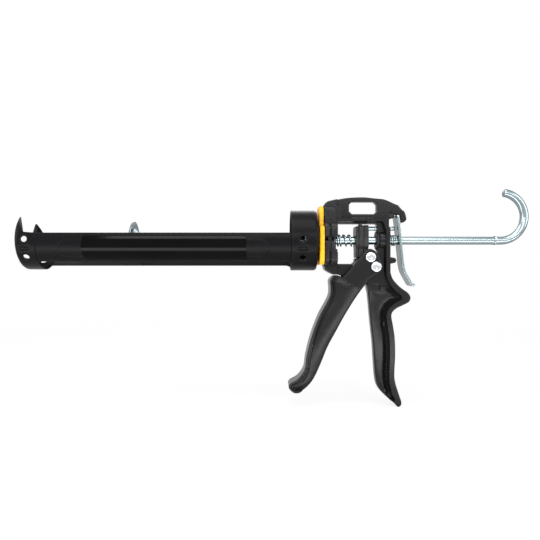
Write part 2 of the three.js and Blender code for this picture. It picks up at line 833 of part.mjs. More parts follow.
function makeBodyCasting() {
  const far = rimHalfWidth + flangeHalfWidth;
  const blank = across(bodyOutline(), -rimHalfWidth, rimHalfWidth, castEdge);
  const rimTop = rimTopShares.map(archPoint);
  const archRecess = polygon([
    ...rimTop.map((p) => [p.x, p.y]),
    [wallRear + cutOverrun, rimTop.at(-1).y],
    [bodyX(1) + gripDepth, rimTop.at(-1).y],
    [bodyX(1) + gripDepth, bodyTop + cutOverrun],
    [hubBack, bodyTop + cutOverrun],
  ]);
  const stepFront = archPoint([undersideShares[0][0], stepShares.front]);
  const stepRear = archPoint([gripRearShares[0][0], stepShares.rear]);
  const webRecess = polygon([
    [hubBack, rimTop[0].y - rimBand],
    [wallFront, rimTop[0].y - rimBand],
    ...rimInnerShares.map(gripPoint).filter((p) => p.y > stepRear.y).map((p) => [p.x, p.y]),
    [stepRear.x, stepRear.y],
    [stepFront.x, stepFront.y],
    [hubBack, undersideShares[0][1] * bodyTop],
  ]);
  const tip = gripPoint(gripFrontShares[0]);
  const panelTopLeft = new THREE.Vector2(stepFront.x, stepFront.y);
  const panelFront = new THREE.Vector2(stepFront.x, tip.y);
  const panelRecess = recessOutline(panelTopLeft, panelFront);
  const lowerHalf = box(
    [hubBack - cutOverrun, -far - cutOverrun, stepFront.y],
    [bodyX(1) + far, far + cutOverrun, bodyTop],
  );
  const panelTools = bothSides(panelRecess, gripPanelHalfWidth).map((tool) => tool.subtract(lowerHalf));
  const thinned = cut(
    blank,
    ...bothSides(archRecess, archHalfWidth),
    ...bothSides(webRecess, webHalfWidth),
    ...panelTools,
  );
  const ribLeft = bodyFront + ribInset;
  const rib = across(polygon([
    [ribLeft, ribBottom + ribWidth / 2],
    [ribLeft + ribWidth / 2, ribBottom],
    [ribLeft + ribWidth, ribBottom + ribWidth / 2],
    [ribLeft + ribWidth, ribTop],
    [ribLeft, ribTop],
  ]), -rimHalfWidth, rimHalfWidth);
  const boss = disc(bossFront, wallFront + runningGap, bossRadius);
  const pivotBoss = crossPin(pivotX, pivotZ, triggerSlotHalfWidth - runningGap, pivotBossRadius);
  const window = across(polygon(windowShares.map(archPoint).map((p) => [p.x, p.y])), -far, far);
  const slot = across(hangSlot(), -far, far);
  const crank = across(crankSlot(), -triggerSlotHalfWidth, triggerSlotHalfWidth);
  const opened = join(cut(join(thinned, rib), window, slot, crank), boss, pivotBoss, hubSolids());
  const sleeveEnd = bodyFront + sleeveSeat + runningGap / 2;
  return cut(
    opened,
    ...coilViews(),
    disc(bossFront - cutOverrun, bossFront, guideFlangeRadius + runningGap),
    disc(bodyFront - cutOverrun, sleeveEnd, sleeveRadius + runningGap),
    disc(sleeveEnd - runningGap, hubBack + cutOverrun, seatRadius + runningGap),
    disc(bossFront - cutOverrun, wallRear + cutOverrun, guideRadius + runningGap),
    disc(hubBack, wallRear + cutOverrun, dripPinRadius + runningGap, pinSides).translate([0, 0, dripPinHeight]),
    crossPin(pivotX, pivotZ, far, rivetRadius + runningGap),
  );
}

// Trigger

function makeTrigger() {
  const outline = triggerShares.map(triggerPoint);
  const whole = new THREE.Shape();
  whole.moveTo(outline[0].x, outline[0].y);
  whole.splineThru(outline.slice(1));
  const walls = across(whole, -triggerWallOuter, triggerWallOuter, castEdge);
  const front = new THREE.Shape();
  front.moveTo(outline[1].x, outline[1].y);
  front.splineThru(outline.slice(2, 18));
  triggerRimShares.map(triggerPoint).forEach((p) => front.lineTo(p.x, p.y));
  const rim = across(front, -triggerRimHalfWidth, triggerRimHalfWidth, triggerRimEdge);
  const cheek = new THREE.Shape();
  const round = cheekShares.map(triggerPoint);
  cheek.moveTo(round[0].x, round[0].y);
  cheek.lineTo(round[1].x, round[1].y);
  cheek.splineThru(round.slice(2, 9));
  cheek.lineTo(round[9].x, round[9].y);
  cheekRootShares.map(triggerPoint).forEach((p) => cheek.lineTo(p.x, p.y));
  const cheeks = across(cheek, -cheekHalfWidth, cheekHalfWidth, castEdge);
  const slot = across(
    polygon(triggerSlotShares.map(triggerPoint).map((p) => [p.x, p.y])),
    -triggerSlotHalfWidth,
    triggerSlotHalfWidth,
  );
  const far = triggerRimHalfWidth + cutOverrun;
  return cut(
    join(walls, rim, cheeks),
    slot,
    crossPin(pivotX, pivotZ, far, rivetRadius + runningGap),
    crossPin(driveX, driveZ, far, rivetRadius + runningGap),
  );
}

function makeRivet(x, z) {
  const inside = cheekHalfWidth + runningGap;
  const face = inside + rivetHeadThickness;
  const shoulder = face - rivetHeadDome;
  const dome = rivetHeadRadius - rivetHeadDome - rivetHeadDome;
  const points = [
    [0, -face], [dome, -face], [rivetHeadRadius, -shoulder], [rivetHeadRadius, -inside], [rivetRadius, -inside],
    [rivetRadius, inside], [rivetHeadRadius, inside], [rivetHeadRadius, shoulder], [dome, face], [0, face],
  ].map(([r, y]) => new THREE.Vector2(r, y));
  const geometry = new THREE.LatheGeometry(points, pinSides);
  geometry.translate(x, 0, z);
  return solid(geometry);
}

// Drive head

function driveOutline(top, legBottom) {
  const shape = new THREE.Shape();
  const wide = driveHalfWidth;
  const leg = driveLegHalfWidth;
  const c = driveCorner;
  shape.moveTo(-leg, -legBottom);
  shape.lineTo(leg, -legBottom);
  shape.lineTo(leg, driveShoulder);
  shape.lineTo(wide, driveShoulder + c);
  shape.lineTo(wide, top - c);
  shape.absarc(wide - c, top - c, c, 0, Math.PI / 2);
  shape.absarc(-wide + c, top - c, c, Math.PI / 2, Math.PI);
  shape.lineTo(-wide, driveShoulder + c);
  shape.lineTo(-leg, driveShoulder);
  return shape;
}

function drivePlate(front, thickness, top, rearLimit) {
  const plate = alongX(driveOutline(top, driveLegBottom), front, front + thickness, driveGap);
  const behind = box([rearLimit, -driveHalfWidth, -driveLegBottom], [wallRear, driveHalfWidth, driveShoulder]);
  return cut(plate, disc(front - cutOverrun, wallRear, driveBore, pinSides), behind);
}

function thrustRear() {
  return driveFront + thrustThickness;
}

function gripRear() {
  return thrustRear() + driveGap + gripThickness;
}

function makeThrustPlate() {
  return drivePlate(driveFront, thrustThickness, thrustTop, wallFront);
}

function makeGripPlate() {
  const plate = drivePlate(thrustRear() + driveGap, gripThickness, gripTop, wallFront);
  const middle = (thrustRear() + gripRear()) / 2;
  const nub = box(
    [middle - nubWidth / 2, -nubWidth, gripTop - nubHeight],
    [middle + nubWidth / 2, nubWidth, gripTop + nubHeight],
  );
  return join(plate, nub);
}

function makeRearGripPlate() {
  const front = gripRear() + driveGap;
  const plate = drivePlate(front, rearGripThickness, rearGripTop, headRear);
  return cut(plate, disc(front - cutOverrun, wallRear, dripPinRadius + runningGap, pinSides)
    .translate([0, 0, dripPinHeight]));
}

function makeDripPin() {
  return disc(gripRear() + driveGap, dripPinReach, dripPinRadius, pinSides).translate([0, 0, dripPinHeight]);
}

function makeSpringSeat() {
  return ring(seatFront, seatFront + seatThickness, seatRadius, sleeveBore);
}

function makeGuideBush() {
  const front = bossFront - runningGap - guideFlangeThickness;
  const bore = driveBore;
  return turned([
    [front, bore],
    [front, guideFlangeRadius],
    [front + guideFlangeThickness, guideFlangeRadius],
    [front + guideFlangeThickness, guideRadius],
    [wallRear - runningGap, guideRadius],
    [wallRear - runningGap, bore],
    [front, bore],
  ]);
}

// Springs

// The centre line of a spring along X: straight ends, closed turns at one end, open turns for the rest.
function springLine({ from, to, coilRadius, wire, closedTurns, openTurns, closedFirst }) {
  const start = from + wire;
  const rise = to - from - wire - wire;
  const closedPitch = wire + closedCoilGap;
  const openPitch = (rise - closedPitch * closedTurns) / openTurns;
  const turns = closedTurns + openTurns;
  const count = Math.round(turns * turnSteps);
  const line = [{ x: from, angle: 0 }];
  for (let i = 0; i <= count; i += 1) {
    const turn = i / turnSteps;
    const reached = closedFirst ? Math.min(turn, closedTurns) : Math.max(turn - openTurns, 0);
    const x = start + closedPitch * reached + openPitch * (turn - reached);
    line.push({ x, angle: 2 * Math.PI * turn });
  }
  line.push({ x: to, angle: 2 * Math.PI * turns });
  return line.map(({ x, angle }) => ({
    centre: new THREE.Vector3(x, coilRadius * Math.cos(angle), coilRadius * Math.sin(angle)),
    outward: new THREE.Vector3(0, Math.cos(angle), Math.sin(angle)),
  }));
}

function reportSelfGap(name, line, wire) {
  let least = Infinity;
  for (let i = 0; i < line.length; i += 1) {
    for (let j = i + turnSteps / 2; j < line.length; j += 1) {
      least = Math.min(least, line[i].centre.distanceTo(line[j].centre) - wire);
    }
  }
  console.log(`${name}: least gap to itself ${least.toFixed(2)} mm`);
}

function makeSpring(name, spec) {
  const line = springLine(spec);
  reportSelfGap(name, line, spec.wire);
  const vertices = [];
  line.forEach(({ centre, outward }, i) => {
    const before = line[Math.max(i - 1, 0)].centre;
    const after = line[Math.min(i + 1, line.length - 1)].centre;
    const tangent = after.clone().sub(before).normalize();
    const side = tangent.clone().cross(outward).normalize();
    const up = side.clone().cross(tangent).normalize();
    for (let k = 0; k < wireSides; k += 1) {
      const angle = 2 * Math.PI * (k / wireSides);
      const point = centre.clone()
        .addScaledVector(up, Math.cos(angle) * spec.wire / 2)
        .addScaledVector(side, Math.sin(angle) * spec.wire / 2);
      vertices.push(point.x, point.y, point.z);
    }
  });
  const index = [];
  for (let i = 0; i < line.length - 1; i += 1) {
    for (let k = 0; k < wireSides; k += 1) {
      const a = i * wireSides + k;
      const b = i * wireSides + (k + 1) % wireSides;
      index.push(a, b, b + wireSides, a, b + wireSides, a + wireSides);
    }
  }
  const last = (line.length - 1) * wireSides;
  for (let k = 1; k < wireSides - 1; k += 1) {
    index.push(0, k + 1, k);
    index.push(last, last + k, last + k + 1);
  }
  const geometry = new THREE.BufferGeometry();
  geometry.setAttribute('position', new THREE.Float32BufferAttribute(vertices, 3));
  geometry.setIndex(index);
  return solid(geometry);
}

// Release lever

// A strip of even thickness along a smooth line drawn in X and Z.
function stripShape(points, thickness, divisions) {
  const line = new THREE.SplineCurve(points);
  const count = points.length * divisions;
  const left = [];
  const right = [];
  for (let i = 0; i <= count; i += 1) {
    const place = line.getPoint(i / count);
    const tangent = line.getTangent(i / count);
    const offset = new THREE.Vector2(-tangent.y, tangent.x).multiplyScalar(thickness / 2);
    left.push(place.clone().add(offset));
    right.unshift(place.clone().sub(offset));
  }
  return new THREE.Shape([...left, ...right]);
}

function makeReleaseLever() {
  const points = leverShares.map(([x, z]) => {
    return new THREE.Vector2(leverTopX + x * leverHeight, leverTopZ + z * leverHeight);
  });
  const strip = across(stripShape(points, leverThickness, curveSteps), -leverHalfWidth, leverHalfWidth);
  return cut(strip, disc(wallRear, hookStart, leverBore, pinSides));
}

// Assembly

function part(group, name, manifold, material) {
  const mesh = new THREE.Mesh(surface(manifold), material);
  mesh.name = name;
  group.add(mesh);
  return mesh;
}

const gun = new THREE.Group();
const inner = new THREE.Group();
gun.add(inner);
inner.position.set(-(barrelFront + hookStart + hookRadius + rodRadius) / 2, 0, gripTip);

const barrel = new THREE.Group();
barrel.rotation.x = -radians(barrelRollAngle);
inner.add(barrel);
part(barrel, 'front_cap', makeFrontCap(), paint);
part(barrel, 'cradle', makeCradle(), paint);
part(barrel, 'collar', makeCollar(), paint);
part(barrel, 'label_near', makeLabel(-1), film);
part(barrel, 'label_far', makeLabel(1), film);

part(inner, 'push_rod', makePushRod(), zinc);
part(inner, 'piston_nut', makePistonNut(), zinc);
part(inner, 'piston_backing', makePistonBacking(), zinc);
part(inner, 'piston_disc', makePistonDisc(), zinc).position.z = -pistonSag;

part(inner, 'hub_nut', makeHubNut(), zinc);
part(inner, 'hub_washer', makeHubWasher(), zinc);
part(inner, 'hub_sleeve', makeHubSleeve(), zinc);
part(inner, 'swivel_washer', makeSwivelWasher(), plastic);
part(inner, 'retainer_plate', makeRetainerPlate(), yellow);
part(inner, 'body_casting', makeBodyCasting(), casting);
part(inner, 'spring_seat', makeSpringSeat(), zinc);
part(inner, 'rear_guide_bush', makeGuideBush(), plastic);
part(inner, 'pivot_rivet', makeRivet(pivotX, pivotZ), bright);

part(inner, 'trigger', makeTrigger(), casting);
part(inner, 'drive_rivet', makeRivet(driveX, driveZ), bright);

part(inner, 'thrust_plate', makeThrustPlate(), plastic);
part(inner, 'grip_plate', makeGripPlate(), plastic);
part(inner, 'rear_grip_plate', makeRearGripPlate(), plastic);
part(inner, 'drip_pin', makeDripPin(), zinc);
part(inner, 'main_spring', makeSpring('main_spring', {
  from: springFront,
  to: driveFront - runningGap,
  coilRadius: springCoilRadius,
  wire: springWire,
  closedTurns: springClosedTurns,
  openTurns: springOpenTurns,
  closedFirst: true,
}), bright);

const leverFace = leverTopX + leverShares[3][0] * leverHeight - leverThickness;
part(inner, 'brake_spring', makeSpring('brake_spring', {
  from: wallRear + runningGap,
  to: leverFace,
  coilRadius: brakeCoilRadius,
  wire: brakeWire,
  closedTurns: brakeClosedTurns,
  openTurns: brakeOpenTurns,
  closedFirst: false,
}), bright);
part(inner, 'release_lever', makeReleaseLever(), zinc);

export default gun;
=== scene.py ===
"""Looks of a skeleton caulking gun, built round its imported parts.

Pieces are worked out in millimetres in the gun's own frame: X runs along the push rod, the muzzle points
to -X, the near side is -Y and Z points up. Their places are then put into the row frame, in metres.
"""

import json
import logging
import math
from dataclasses import dataclass, field
from enum import Enum
from typing import Callable, Sequence

import bpy
import numpy as np
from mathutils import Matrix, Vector
from mathutils.geometry import delaunay_2d_cdt


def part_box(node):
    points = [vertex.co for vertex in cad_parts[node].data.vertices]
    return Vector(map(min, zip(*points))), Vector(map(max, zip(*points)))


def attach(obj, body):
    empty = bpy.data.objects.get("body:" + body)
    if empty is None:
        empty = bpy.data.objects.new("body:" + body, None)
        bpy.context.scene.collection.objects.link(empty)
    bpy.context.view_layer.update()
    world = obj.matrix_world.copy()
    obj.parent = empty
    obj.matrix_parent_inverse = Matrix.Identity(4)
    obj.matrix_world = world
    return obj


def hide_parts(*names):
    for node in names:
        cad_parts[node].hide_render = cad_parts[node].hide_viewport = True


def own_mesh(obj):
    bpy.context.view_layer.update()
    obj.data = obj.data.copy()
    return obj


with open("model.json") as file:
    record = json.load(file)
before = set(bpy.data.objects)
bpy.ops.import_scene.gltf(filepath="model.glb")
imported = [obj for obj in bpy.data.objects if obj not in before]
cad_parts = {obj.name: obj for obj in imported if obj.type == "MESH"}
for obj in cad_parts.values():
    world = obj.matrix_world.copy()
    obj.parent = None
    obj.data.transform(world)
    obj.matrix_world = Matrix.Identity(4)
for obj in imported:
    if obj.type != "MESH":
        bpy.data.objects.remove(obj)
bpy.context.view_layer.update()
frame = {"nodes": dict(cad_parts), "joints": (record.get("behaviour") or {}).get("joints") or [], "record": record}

log = logging.getLogger("caulking_gun")
Array = np.ndarray
Place = Callable[[Array, Array, Array], Array]
Field = Callable[[Array], Array]

MM = 0.001
SMOOTH_ANGLE = math.radians(38)
# Distance from an edge, in mm, over which its wear fades.
EDGE_REACH = 0.8
# Share of its distance that a line parallel to an edge has to keep from all edges.
ROW_KEEP_SHARE = 0.97
# Height of a triangle of the fill, and the size of the cells that are kept free of it, as shares of the grid.
ROW_HEIGHT_SHARE = 0.866
CLEAR_SHARE = 0.55
# More than the number of cells that any plan has across.
CELL_ROW = 100_000
# Radius of the hole for the rod in the guide bush and in the drive head's plates.
ROD_BORE = 4.35
# Start of a nut's cone as a share of the half width across its flats, and the cone's slope.
NUT_FACE_SHARE = 0.96
NUT_SLOPE = 1.7
# Radius of a rivet's shank, and points of its head: how far under the top, and share of the radius.
RIVET_SHANK = 2.6
RIVET_DOME = ((1.4, 1), (0.75, 1), (0.3, 0.86), (0.06, 0.62), (0, 0.36), (0.12, 0.2), (0.16, 0))
# The part of a noise's values that a map range spreads over its whole output.
NOISE_RANGE = {"From Min": 0.3, "From Max": 0.7}
ROD_ORIGIN = np.array(next(j for j in frame["joints"] if j["name"] == "rod_turn")["pos_m"]) / MM


class Body(Enum):
    """The moving bodies that pieces ride on."""

    BODY = "body"
    BARREL = "barrel"
    TRIGGER = "trigger"
    DRIVE = "drive_head"
    PISTON = "piston"
    ROD = "rod"
    LEVER = "release_lever"


def span(node: str) -> tuple[Array, Array]:
    """Lowest and highest corner of a CAD node, in mm in the gun's own frame.

    Args:
        node: name of the CAD node.

    Returns:
        The two corners.
    """
    low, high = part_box(node)
    return np.array(low) / MM - ROD_ORIGIN, np.array(high) / MM - ROD_ORIGIN


# Curves and outlines


def spline(points: Sequence[Sequence[float]], per_span: int = 6) -> Array:
    """Smooth open curve through points: the uniform cubic whose slope at each point is half the chord
    between its neighbours, with the end points doubled.

    Args:
        points: places (u, v) on the curve.
        per_span: steps from one point to the next.

    Returns:
        Points along the curve.
    """
    p = np.asarray(points, float)
    ext = np.vstack([p[:1], p, p[-1:]])
    a, b, c, d = (ext[i:len(ext) - 3 + i][:, None] for i in range(4))
    t = (np.arange(per_span) / per_span)[None, :, None]
    cubic = 2 * b + (c - a) * t + (2 * a - 5 * b + 4 * c - d) * t**2 + (3 * b - a - 3 * c + d) * t**3
    return np.vstack([cubic.reshape(-1, p.shape[1]) / 2, p[-1:]])


def rounded(points: Sequence[Sequence[float]], radii: float | Sequence[float], steps: int = 5) -> Array:
    """Closed outline whose corners are arcs tangent to both sides.

    Args:
        points: corners of the outline.
        radii: one radius for all corners, or one for each.
        steps: chords in each arc.

    Returns:
        Points round the outline.
    """
    p = np.asarray(points, float)
    size = np.broadcast_to(np.asarray(radii, float), (len(p),))
    pieces = []
    for here, before, after, radius in zip(p, np.roll(p, 1, 0), np.roll(p, -1, 0), size):
        a, b = before - here, after - here
        la, lb = np.linalg.norm(a), np.linalg.norm(b)
        half = math.acos(float(np.clip(a @ b / la / lb, -1, 1))) / 2
        if radius <= 0 or half > math.radians(88):
            pieces.append(here[None])
            continue
        cut = min(radius / math.tan(half), 0.48 * la, 0.48 * lb)
        start, end = here + a / la * cut, here + b / lb * cut
        t = np.linspace(0, 1, steps + 1)[:, None]
        middle = (start + end) / 2
        centre = here + (middle - here) / np.linalg.norm(middle - here) * cut / math.cos(half)
        arms = (start - centre) * (1 - t) + (end - centre) * t
        arms *= np.linalg.norm(start - centre) / np.linalg.norm(arms, axis=1, keepdims=True)
        pieces.append(centre + arms)
    return np.vstack(pieces)


def circle(centre: Sequence[float], radius: float, sides: int = 40) -> Array:
    """Points round a circle, counter-clockwise."""
    angle = np.linspace(0, 2 * np.pi, sides, endpoint=False)
    return np.column_stack([centre[0] + radius * np.cos(angle), centre[1] + radius * np.sin(angle)])


def arc(centre: Sequence[float], radius: float, start: float, end: float, steps: int = 12) -> Array:
    """Points along an arc from one angle to another, in degrees."""
    angle = np.radians(np.linspace(start, end, steps + 1))
    return np.column_stack([centre[0] + radius * np.cos(angle), centre[1] + radius * np.sin(angle)])


def slab_outline(half: float, low: float, high: float, corner: float) -> Array:
    """Upright rectangle with rounded corners, symmetrical about the second axis."""
    return rounded([(-half, low), (half, low), (half, high), (-half, high)], corner, 6)


def area(loop: Array) -> float:
    """Area of a closed loop, positive when it runs counter-clockwise."""
    x, y = loop.T
    return float(x @ np.roll(y, -1) - y @ np.roll(x, -1)) / 2


def turned_way(loop: Array, sign: int) -> Array:
    """The loop, counter-clockwise for sign 1 and clockwise for sign -1."""
    return loop if area(loop) * sign > 0 else loop[::-1]


def spaced(loop: Array, step: float, closed: bool = True) -> Array:
    """The same line with long stretches divided, so that no part is longer than step.

    Args:
        loop: points along the line.
        step: longest part.
        closed: whether the last point joins the first.

    Returns:
        Points of the divided line.
    """
    start = loop if closed else loop[:-1]
    run = (np.roll(loop, -1, 0) - loop)[:len(start)]
    parts = np.maximum(np.ceil(np.linalg.norm(run, axis=1) / step).astype(int), 1)
    count = np.arange(parts.sum()) - np.repeat(np.cumsum(parts) - parts, parts)
    points = np.repeat(start, parts, 0) + np.repeat(run / parts[:, None], parts, 0) * count[:, None]
    return points if closed else np.vstack([points, loop[-1:]])


def distance(points: Array, line: Array, closed: bool = True) -> Array:
    """Distance from each point to the nearest part of a line: to the foot of its perpendicular, kept
    between the part's ends.

    Args:
        points: places to measure from.
        line: points along the line.
        closed: whether the last point joins the first.

    Returns:
        One distance for each point.
    """
    a = line if closed else line[:-1]
    ab = (np.roll(line, -1, 0) - line)[:len(a)]
    square = np.maximum((ab * ab).sum(1), 1e-12)
    out = np.empty(len(points))
    for part in np.array_split(np.arange(len(points)), max(1, len(points) * len(a) // 1_500_000)):
        ap = points[part][:, None] - a[None]
        t = np.clip((ap * ab).sum(-1) / square, 0, 1)
        out[part] = np.sqrt(((ap - ab * t[..., None])**2).sum(-1).min(1))
    return out


def inside(points: Array, loop: Array) -> Array:
    """Whether each point is inside a loop: a ray from it crosses the loop an odd number of times."""
    a, b = loop, np.roll(loop, -1, 0)
    out = np.empty(len(points), bool)
    for part in np.array_split(np.arange(len(points)), max(1, len(points) * len(a) // 3_000_000)):
        x, y = points[part, 0:1], points[part, 1:2]
        tall = (a[:, 1] > y) != (b[:, 1] > y)
        rise = np.where(b[:, 1] == a[:, 1], 1, b[:, 1] - a[:, 1])
        out[part] = (tall & (x < a[:, 0] + (y - a[:, 1]) * (b[:, 0] - a[:, 0]) / rise)).sum(1) % 2 == 1
    return out


def depth(points: Array, loop: Array) -> Array:
    """Distance to a closed loop, negative outside it."""
    return np.where(inside(points, loop), 1, -1) * distance(points, loop)


def offset(loop: Array, amount: float) -> Array:
    """Each point of a loop moved to the left of its run, along the mean of its two sides' normals, far
    enough that the sides move by amount.

    Args:
        loop: points of a closed line.
        amount: how far, negative to the right.

    Returns:
        The moved points.
    """
    run = np.roll(loop, -1, 0) - loop
    normal = np.column_stack([-run[:, 1], run[:, 0]]) / np.maximum(np.linalg.norm(run, axis=1), 1e-9)[:, None]
    mean = normal + np.roll(normal, 1, 0)
    mean /= np.maximum(np.linalg.norm(mean, axis=1), 0.2)[:, None]
    reach = 1 / np.maximum((mean * normal).sum(1), 0.5)
    return loop + mean * (reach * amount)[:, None]


def rectangle(left: float, bottom: float, right: float, top: float) -> Array:
    """A rectangle's corners, counter-clockwise from the lower left."""
    return np.array([(left, bottom), (right, bottom), (right, top), (left, top)], float)


def mirrored(right: Sequence[Sequence[float]] | Array) -> Array:
    """A loop from its right half, followed by that half mirrored to the left."""
    half = np.array(right, float)
    return np.vstack([half, half[::-1] * (-1, 1)])


def smooth(t: Array) -> Array:
    """Goes from 0 to 1 as t does, level at both ends."""
    t = np.clip(t, 0, 1)
    return t * t * (3 - 2 * t)


def quarter(d: Array, radius: float) -> Array:
    """How far a rounded edge is under the face at distance d from the edge: a quarter circle."""
    short = np.clip(radius - d, 0, radius)
    return radius - np.sqrt(np.maximum(radius**2 - short**2, 0))


# Meshes


@dataclass
class Plan:
    """A flat outline with holes, divided into triangles that follow its edges and feature lines."""

    outer: Array
    holes: Sequence[Array] = ()
    edge: float = 0.5
    lines: Sequence[tuple[Array, Sequence[float]]] = ()
    step: float = 1.0
    grid: float = 1.8

    def rows(self) -> list[Array]:
        """The closed lines parallel to the outline and holes on which a rounded edge bends."""
        shares = [1 - math.cos(math.radians(a)) for a in (0, 30, 60, 90)]
        return [self.edge * share for share in shares] + [self.edge + 0.25]

    def mesh(self) -> tuple[Array, Array]:
        """Divides the plan.

        Returns:
            Points (u, v) and counter-clockwise triangles.
        """
        outer = turned_way(spaced(self.outer, self.step), 1)
        holes = [turned_way(spaced(h, self.step), -1) for h in self.holes]
        bounds = [outer, *holes]
        points, edges, count = [], [], 0

        def keep(loop: Array, good: Array) -> None:
            """Adds a closed line, with an edge wherever two neighbours are both good."""
            nonlocal count
            index = np.where(good, np.cumsum(good) - 1 + count, -1)
            pair = np.column_stack([index, np.roll(index, -1)])
            points.append(loop[good])
            edges.append(pair[(pair >= 0).all(1)])
            count += int(good.sum())

        for loop in bounds:
            keep(loop, np.ones(len(loop), bool))
            for amount in self.rows()[1:]:
                row = offset(loop, amount)
                near = np.min([distance(row, b) for b in bounds], axis=0)
                keep(row, near > amount * ROW_KEEP_SHARE)
        for line, offsets in self.lines:
            base = turned_way(spaced(line, self.step), 1)
            for amount in offsets:
                row = offset(base, amount)
                keep(row, distance(row, base) > abs(amount) * ROW_KEEP_SHARE - 1e-9)
        low, high = outer.min(0), outer.max(0)
        across = np.arange(low[0], high[0], self.grid)
        up = np.arange(low[1], high[1], self.grid * ROW_HEIGHT_SHARE)
        u, v = np.meshgrid(across, up)
        u = u + (np.arange(len(up)) % 2)[:, None] * self.grid / 2
        fill = np.column_stack([u.ravel(), v.ravel()])
        around = (np.arange(-1, 2)[:, None] * CELL_ROW + np.arange(-1, 2)).ravel()
        near_lines = np.isin(self.cells(fill)[:, None] + around, self.cells(np.vstack(points))).any(1)
        fill = fill[~near_lines]
        fill = fill[inside(fill, outer)]
        for hole in holes:
            fill = fill[~inside(fill, hole)]
        points.append(fill)
        coords = [Vector(p) for p in np.vstack(points).tolist()]
        found = delaunay_2d_cdt(coords, np.vstack(edges).tolist(), [], 0, 1e-5, False)
        verts = np.array([tuple(p) for p in found[0]])
        tris = np.array(found[2], int)
        centre = verts[tris].mean(1)
        good = inside(centre, outer)
        for hole in holes:
            good &= ~inside(centre, hole)
        tris = tris[good]
        a, b, c = (verts[tris[:, i]] for i in range(3))
        twice = (b - a)[:, 0] * (c - a)[:, 1] - (b - a)[:, 1] * (c - a)[:, 0]
        tris = tris[np.abs(twice) > 1e-9]
        twice = twice[np.abs(twice) > 1e-9]
        tris[twice < 0] = tris[twice < 0][:, ::-1]
        used, fresh = np.unique(tris, return_inverse=True)
        return verts[used], fresh.reshape(-1, 3)

    def cells(self, points: Array) -> Array:
        """Number of the small square cell that each point is in: its row times CELL_ROW, plus its column."""
        return np.floor(points / (self.grid * CLEAR_SHARE)).astype(int) @ (CELL_ROW, 1)

    def edge_distance(self, points: Array) -> Array:
        """Distance from each point to the nearest edge of the plan."""
        return np.min([distance(points, loop) for loop in (self.outer, *self.holes)], axis=0)


def open_sides(tris: Array) -> Array:
    """Directed sides that only one triangle has.

    Args:
        tris: triangles, all turned the same way.

    Returns:
        Pairs of point numbers.
    """
    sides = np.vstack([tris[:, [0, 1]], tris[:, [1, 2]], tris[:, [2, 0]]])
    top = int(tris.max()) + 1
    forward = sides[:, 0] * top + sides[:, 1]
    back = sides[:, 1] * top + sides[:, 0]
    return sides[~np.isin(forward, back)]


def outward(xyz: Array, tris: Array) -> Array:
    """The triangles, turned over if the volume they enclose comes out negative."""
    a, b, c = (xyz[tris[:, i]] for i in range(3))
    volume = (a * np.cross(b, c)).sum()
    return tris if volume > 0 else tris[:, ::-1]


def weld(xyz: Array, tris: Array) -> tuple[Array, Array]:
    """Joins points that are at the same place and drops triangles left without area.

    Args:
        xyz: points.
        tris: triangles.

    Returns:
        The points and triangles that are left.
    """
    _, first, fresh = np.unique(np.round(xyz, 4), axis=0, return_index=True, return_inverse=True)
    tris = fresh.reshape(-1)[tris]
    whole = (tris[:, 0] != tris[:, 1]) & (tris[:, 1] != tris[:, 2]) & (tris[:, 2] != tris[:, 0])
    return xyz[first], tris[whole]


def quads(rows: int, columns: int, ring_rows: bool, ring_columns: bool) -> Array:
    """Triangles of a grid of points, row after row, that may close on itself either way.

    Args:
        rows: number of rows.
        columns: points in each row.
        ring_rows: whether the last row joins the first.
        ring_columns: whether the last column joins the first.

    Returns:
        Triangles.
    """
    row, column = np.arange(rows - (not ring_rows)), np.arange(columns - (not ring_columns))
    i, j = np.meshgrid(row, column, indexing="ij")
    down, right = (i + 1) % rows, (j + 1) % columns
    corners = (i * columns + j, i * columns + right, down * columns + right, down * columns + j)
    a, b, c, d = (corner.ravel() for corner in corners)
    return np.vstack([np.column_stack([a, b, c]), np.column_stack([a, c, d])])


def slab(plan: Plan, top: Field, bottom: Field, place: Place) -> tuple[Array, Array, Array]:
    """Closed solid between two surfaces over a plan, joined by walls round its edges.

    Args:
        plan: outline, holes and feature lines.
        top: height of the upper surface over (u, v).
        bottom: height of the lower surface.
        place: takes u, v and height to a place in the gun's frame.

    Returns:
        Points, triangles, and how near each point is to an edge, from 0 to 1.
    """
    uv, tris = plan.mesh()
    near = np.exp(-plan.edge_distance(uv) / EDGE_REACH)
    xyz = np.vstack([place(uv[:, 0], uv[:, 1], top(uv)), place(uv[:, 0], uv[:, 1], bottom(uv))])
    a, b = open_sides(tris).T
    n = len(uv)
    walls = np.vstack([np.column_stack([a + n, b + n, b]), np.column_stack([a + n, b, a])])
    faces = np.vstack([tris, tris[:, ::-1] + n, walls])
    return xyz, outward(xyz, faces), np.tile(near, 2)


def even_slab(plan: Plan, half: float, place: Place) -> tuple[Array, Array, Array]:
    """Closed solid that reaches equally far to both sides of a plan, with the plan's edges rounded.

    Args:
        plan: outline, holes and feature lines.
        half: half the thickness.
        place: takes u, v and height to a place in the gun's frame.

    Returns:
        Points, triangles and edge nearness.
    """
    def face(uv: Array) -> Array:
        """Half the thickness, rounded towards the edges."""
        return half - quarter(plan.edge_distance(uv), plan.edge)

    return slab(plan, face, lambda uv: -face(uv), place)


def across_y(u: Array, v: Array, w: Array) -> Array:
    """Places a plan drawn in X and Z, with its height across Y."""
    return np.column_stack([u, w, v])


def along_x(start: float) -> Place:
    """Gives the placing of a plan drawn in Y and Z, with its height along X from start."""
    return lambda u, v, w: np.column_stack([start + w, u, v])


